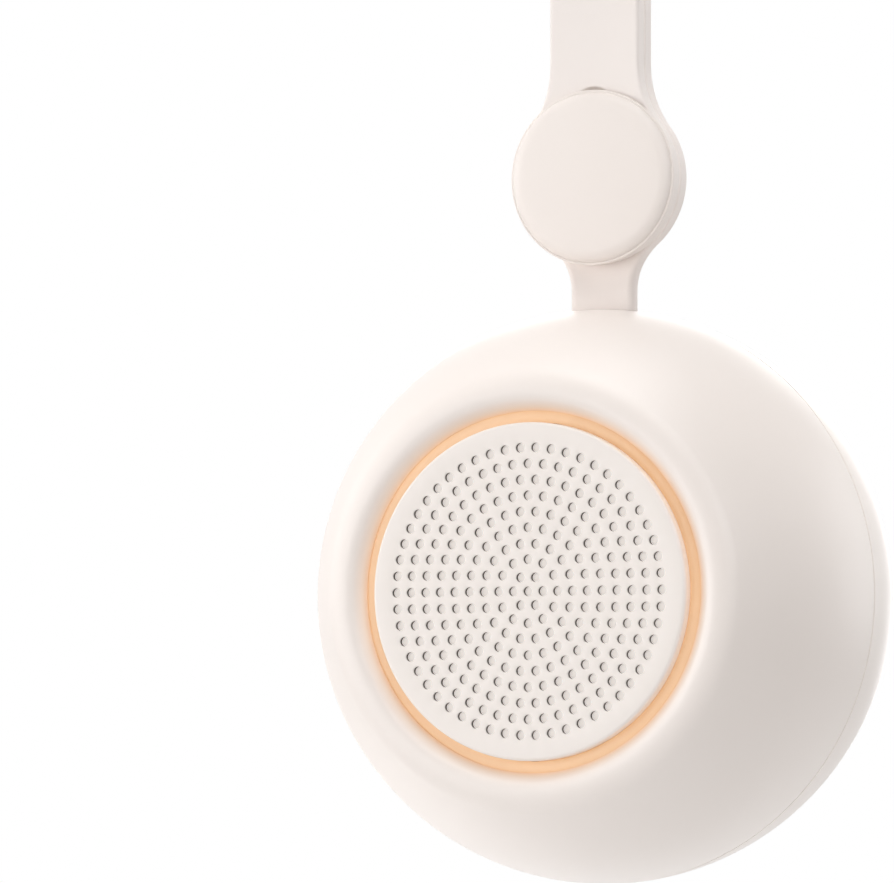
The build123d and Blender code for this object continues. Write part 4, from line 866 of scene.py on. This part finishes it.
def moulded(name, colour, shade, roughness, grain=5200.0, deep=None):
    """Satin moulded plastic: faint clouding of tone, fine grain, and slightly uneven gloss. deep, if given, is
    a function of the finish that gives the share of a painted shade colour, and that colour."""
    f = Finish(name)
    cloud = f.noise(55.0, 2.0)
    fine = f.noise(grain, 2.0, 0.6)
    tone = f.mix(cloud * CLOUD_SHARE + fine * GRAIN_SHARE, colour, shade)
    # painted shade mixed over the tone, where the finish asks for it
    if deep:
        share, dark = deep(f)
        tone = f.mix(share, tone, dark)
    f.set(Base_Color=tone, Roughness=roughness + 0.07 * (f.noise(420.0, 3.0) - 0.5))
    f.bump(fine, GRAIN_STRENGTH, GRAIN_DEPTH)
    return f.material


def painted_hole_shade(f):
    """Painted shade: behind the disc's face the walls of the holes are painted darker with depth, where
    little light gets in. The rounded outer rim stays pale."""
    r, forward = f.axes()
    wall_shade_share = (GRILLE_FORWARD - forward).between(*HOLE_SHADE)
    return wall_shade_share * (1 - r.between(*SHADE_END)), rgb(62, 56, 51)


def silicone():
    """Matte soft silicone: dull, faintly mottled, with a very fine skin."""
    f = Finish("strap_silicone")
    cloud = f.noise(80.0, 3.0)
    fine = f.noise(3800.0, 3.0, 0.6)
    f.set(Base_Color=f.mix(cloud * 0.6 + fine * 0.2, rgb(249, 241, 236), rgb(243, 233, 227)),
          Roughness=0.6 + 0.08 * (f.noise(300.0, 2.0) - 0.5))
    f.bump(fine, 0.15, 0.03 * MM)
    return f.material


def lit_diffuser():
    """Frosted ring, lit amber from behind, a little brighter over each lamp."""
    f = Finish("light_diffuser")
    x, _, z = f.xyz()
    angle = f.node("ShaderNodeMath", {"operation": "ARCTAN2"}, _0=x, _1=z - CASE_Z)
    wave = f.node("ShaderNodeMath", {"operation": "COSINE"}, _0=angle * RING_LAMPS)
    level = 0.92 + 0.03 * wave + 0.05 * f.noise(900.0, 2.0)
    f.set(Base_Color=f.mix(f.noise(300.0, 2.0), rgb(208, 190, 166), rgb(215, 198, 175)), Roughness=0.5,
          Emission_Color=f.mix(level, BLACK, AMBER), Emission_Strength=RING_GLOW)
    return f.material


def woven_mesh():
    """Fine acoustic cloth: two sets of threads at right angles, each a rounded ridge. It glows faintly
    with painted light, as though light came through the thin pale cloth."""
    f = Finish("mesh_cloth")
    x, _, z = f.xyz()
    warp = f.node("ShaderNodeMath", {"operation": "SINE"}, _0=x * THREAD_TURN)
    weft = f.node("ShaderNodeMath", {"operation": "SINE"}, _0=z * THREAD_TURN)
    ridge = f.node("ShaderNodeMath", {"operation": "MAXIMUM"}, _0=warp, _1=weft) * 0.5 + 0.5
    tone = f.mix(ridge, rgb(214, 204, 196), rgb(250, 243, 238))
    # painted light: the cloth glows to brighten the floors of the grille's holes
    f.set(Base_Color=tone, Roughness=0.85, Emission_Color=tone, Emission_Strength=MESH_PAINTED_GLOW)
    f.bump(ridge, 0.4, 0.05 * MM)
    return f.material


def speckled(name, dark, light, roughness, metallic=0.0, scale=2600.0, strength=0.15):
    """A finish of two tones mixed by fine noise, for inner pieces, metal and board."""
    f = Finish(name)
    fine = f.noise(scale, 4.0, 0.6)
    wide = f.noise(scale / 40, 2.0)
    f.set(Base_Color=f.mix(fine * 0.6 + wide * 0.4, dark, light), Metallic=metallic,
          Roughness=roughness + 0.12 * (fine - 0.5))
    f.bump(fine, strength, GRAIN_DEPTH)
    return f.material


finishes = {
    "case_plastic": case_plastic(),
    # the grille's finish paints shade on the walls of its holes
    "grille_plastic": moulded("grille_plastic", rgb(246, 238, 232), rgb(241, 232, 225), 0.46, 6500.0,
                              painted_hole_shade),
    "strap_silicone": silicone(),
    "snap_plastic": moulded("snap_plastic", rgb(245, 236, 230), rgb(240, 230, 223), 0.44, 6000.0),
    "light_diffuser": lit_diffuser(),
    "mesh_cloth": woven_mesh(),
    "panel_plastic": moulded("panel_plastic", rgb(240, 230, 222), rgb(233, 223, 214), 0.5),
    "button_rubber": moulded("button_rubber", rgb(232, 222, 213), rgb(226, 215, 206), 0.55, 4200.0),
    "sign_ink": speckled("sign_ink", rgb(140, 128, 118), rgb(158, 146, 136), 0.5),
    "board_laminate": speckled("board_laminate", rgb(22, 82, 50), rgb(34, 104, 64), 0.35),
    "chip_resin": speckled("chip_resin", rgb(28, 28, 30), rgb(44, 44, 46), 0.5),
    "lamp_resin": speckled("lamp_resin", rgb(236, 206, 120), rgb(250, 232, 170), 0.25),
    "clear_plastic": speckled("clear_plastic", rgb(228, 226, 220), rgb(240, 238, 232), 0.15),
    "black_plastic": speckled("black_plastic", rgb(22, 22, 23), rgb(36, 36, 37), 0.45),
    "inner_plastic": speckled("inner_plastic", rgb(96, 96, 98), rgb(112, 112, 114), 0.5),
    "steel": speckled("steel", rgb(176, 176, 178), rgb(206, 206, 208), 0.3, 1.0),
    "plated_steel": speckled("plated_steel", rgb(160, 162, 164), rgb(190, 192, 196), 0.38, 1.0),
    "ferrite": speckled("ferrite", rgb(50, 50, 53), rgb(70, 70, 74), 0.6),
    "cone_paper": speckled("cone_paper", rgb(34, 31, 30), rgb(58, 54, 51), 0.85, scale=1500.0, strength=0.5),
    "spider_cloth": speckled("spider_cloth", rgb(160, 110, 50), rgb(196, 148, 80), 0.8),
    "surround_rubber": speckled("surround_rubber", rgb(24, 24, 24), rgb(40, 40, 40), 0.6),
    "copper": speckled("copper", rgb(168, 92, 52), rgb(206, 124, 76), 0.3, 1.0),
    "cell_foil": speckled("cell_foil", rgb(176, 178, 182), rgb(208, 210, 214), 0.35, 1.0),
    "tape_foam": speckled("tape_foam", rgb(214, 212, 206), rgb(236, 234, 228), 0.9),
    "lead_vinyl": speckled("lead_vinyl", rgb(150, 26, 24), rgb(176, 38, 34), 0.4),
}


# ==================== The object ====================
def dress(piece, finish, body, *nodes):
    """Gives a piece its finish and the body it rides on, and hides the CAD nodes that it stands for."""
    piece.data.materials.clear()
    piece.data.materials.append(finishes[finish])
    if body:
        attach(piece, body)
    if nodes:
        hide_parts(*nodes)


for row in frame["record"]["subparts"]:
    node = frame["nodes"][row["node"]]
    node.data.materials.clear()
    node.data.materials.append(finishes[row["material_slot"]])

dress(case_front(), "case_plastic", "housing", "front_shell")
dress(case_rear(), "case_plastic", "housing", "rear_shell")
dress(grille(), "grille_plastic", "housing", "grille_disc")
dress(snap_cap(), "snap_plastic", "strap_flap", "snap_cap")
dress(light_ring(), "light_diffuser", "housing", "light_ring")

strap_rear, strap_loop, strap_front = strap_rear_stretch(), strap_loop_stretch(), strap_front_stretch()
dress(strap_rear, "strap_silicone", "housing", "strap_rear_leg")
dress(strap_front, "strap_silicone", "strap_flap", "strap_front_leg")
dress(strap_loop, "strap_silicone", None)
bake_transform(strap_loop)

for button, place in BUTTONS.items():
    dress(button_cap(button, *place), "button_rubber", button, button)
for button, place in BUTTONS.items():
    sign = button_sign(button.replace("_button", "_sign"), SIGNS[button], *place)
    dress(sign, "sign_ink", button)


# ==================== Stage, light and camera ====================
CENTRE = Vector((0, CASE_Y, CASE_Z))
VIEW_AZIMUTH = math.radians(22.4)
VIEW_ELEVATION = math.radians(-1.6)
VIEW_DISTANCE = 0.9
SENSOR_W = 36.0             # of the camera, in millimetres
PIXEL = 0.1395 * MM         # at the case centre
FRAME_W, FRAME_H = 894, 883
CASE_PX = (604.3, 596.6)    # the case centre in the frame, right and down
FLOOR_Z = -0.6
FLOOR_HALF = 4
FLOOR_LIFT = 0.78
WORLD_LEVEL = 0.07
LAMP_DISTANCE = 1.2
LAMP_SIZE = 0.7
LAMPS = [                   # degrees right of the camera's line, degrees up, level
    ("lamp_top", 0, 88, 0.40),
    ("lamp_high", 0, 60, 0.28),
    ("lamp_left", -60, 0, 0.30),
    ("lamp_far_left", -90, 5, 0.30),
    ("lamp_back_left", -120, 15, 0.15),
    ("lamp_rim", 120, 10, 0.23),
    ("lamp_back", 172, 12, 0.34),
    ("lamp_front", 30, 20, 0.32),
]


def towards(azimuth, elevation):
    """Unit vector at an azimuth, 0 in front and 90 to the right, and an elevation, in radians."""
    return Vector((math.sin(azimuth) * math.cos(elevation), -math.cos(azimuth) * math.cos(elevation),
                   math.sin(elevation)))


def put(name, data, place, ahead):
    """Puts a lamp or the camera at a place, turned to look along the vector ahead."""
    thing = bpy.data.objects.new(name, data)
    thing.location = place
    thing.rotation_euler = ahead.to_track_quat("-Z", "Y").to_euler()
    bpy.context.scene.collection.objects.link(thing)
    return thing


def seen_share(tree):
    """1 for rays of the camera, of reflections and through clear pieces, and 0 for others."""
    path = tree.nodes.new("ShaderNodeLightPath")
    camera, glossy, through = (Socket(tree, path.outputs[name]) for name in
                               ("Is Camera Ray", "Is Glossy Ray", "Is Transmission Ray"))
    return (camera + glossy + through).clipped()


def floor():
    """Pale floor that keeps shadows, lifted to white for the camera and for reflections."""
    f = Finish("floor_white")
    f.set(Base_Color=f.mix(f.noise(6.0, 2.0), rgb(238, 238, 238), rgb(243, 243, 243)), Roughness=0.9,
          Emission_Color=f.mix(seen_share(f.tree), BLACK, WHITE), Emission_Strength=FLOOR_LIFT)
    mesh = bpy.data.meshes.new("floor")
    corners = [(x * FLOOR_HALF, y * FLOOR_HALF, FLOOR_Z) for x, y in ((-1, -1), (1, -1), (1, 1), (-1, 1))]
    mesh.from_pydata(corners, [], [(0, 1, 2, 3)])
    mesh.materials.append(f.material)
    sheet = bpy.data.objects.new("floor", mesh)
    bpy.context.scene.collection.objects.link(sheet)


def world_light():
    """Soft even light from all round, and plain white for the camera."""
    world = bpy.data.worlds.new("studio")
    bpy.context.scene.world = world
    world.use_nodes = True
    back = world.node_tree.nodes["Background"]
    feed(back.inputs["Strength"], seen_share(world.node_tree) * (1.0 - WORLD_LEVEL) + WORLD_LEVEL)
    feed(back.inputs["Color"], WHITE)


def soft_lamp(name, side, height, level):
    """Square area lamp that faces the case; its power is level x (pi x distance) squared, so that
    a white surface facing it gets about that level."""
    lamp = bpy.data.lights.new(name, "AREA")
    lamp.shape = "SQUARE"
    lamp.size = LAMP_SIZE
    lamp.energy = level * (math.pi * LAMP_DISTANCE) ** 2
    reach = LAMP_DISTANCE * towards(math.radians(side) + VIEW_AZIMUTH, math.radians(height))
    put(name, lamp, CENTRE + reach, -reach)


def set_camera():
    """Camera on the view's line, turned so that the case centre comes to its own pixel."""
    toward = towards(VIEW_AZIMUTH, VIEW_ELEVATION)
    right = Vector((math.cos(VIEW_AZIMUTH), math.sin(VIEW_AZIMUTH), 0))
    above = toward.cross(right)
    place = CENTRE + toward * VIEW_DISTANCE
    aim = CENTRE - right * (CASE_PX[0] - FRAME_W / 2) * PIXEL + above * (CASE_PX[1] - FRAME_H / 2) * PIXEL
    data = bpy.data.cameras.new("camera")
    data.sensor_width = SENSOR_W
    data.lens = SENSOR_W * VIEW_DISTANCE / (FRAME_W * PIXEL)
    data.clip_start = 0.01
    bpy.context.scene.camera = put("camera", data, place, aim - place)


floor()
world_light()
for lamp in LAMPS:
    soft_lamp(*lamp)
set_camera()
bpy.context.scene.view_settings.view_transform = "Standard"
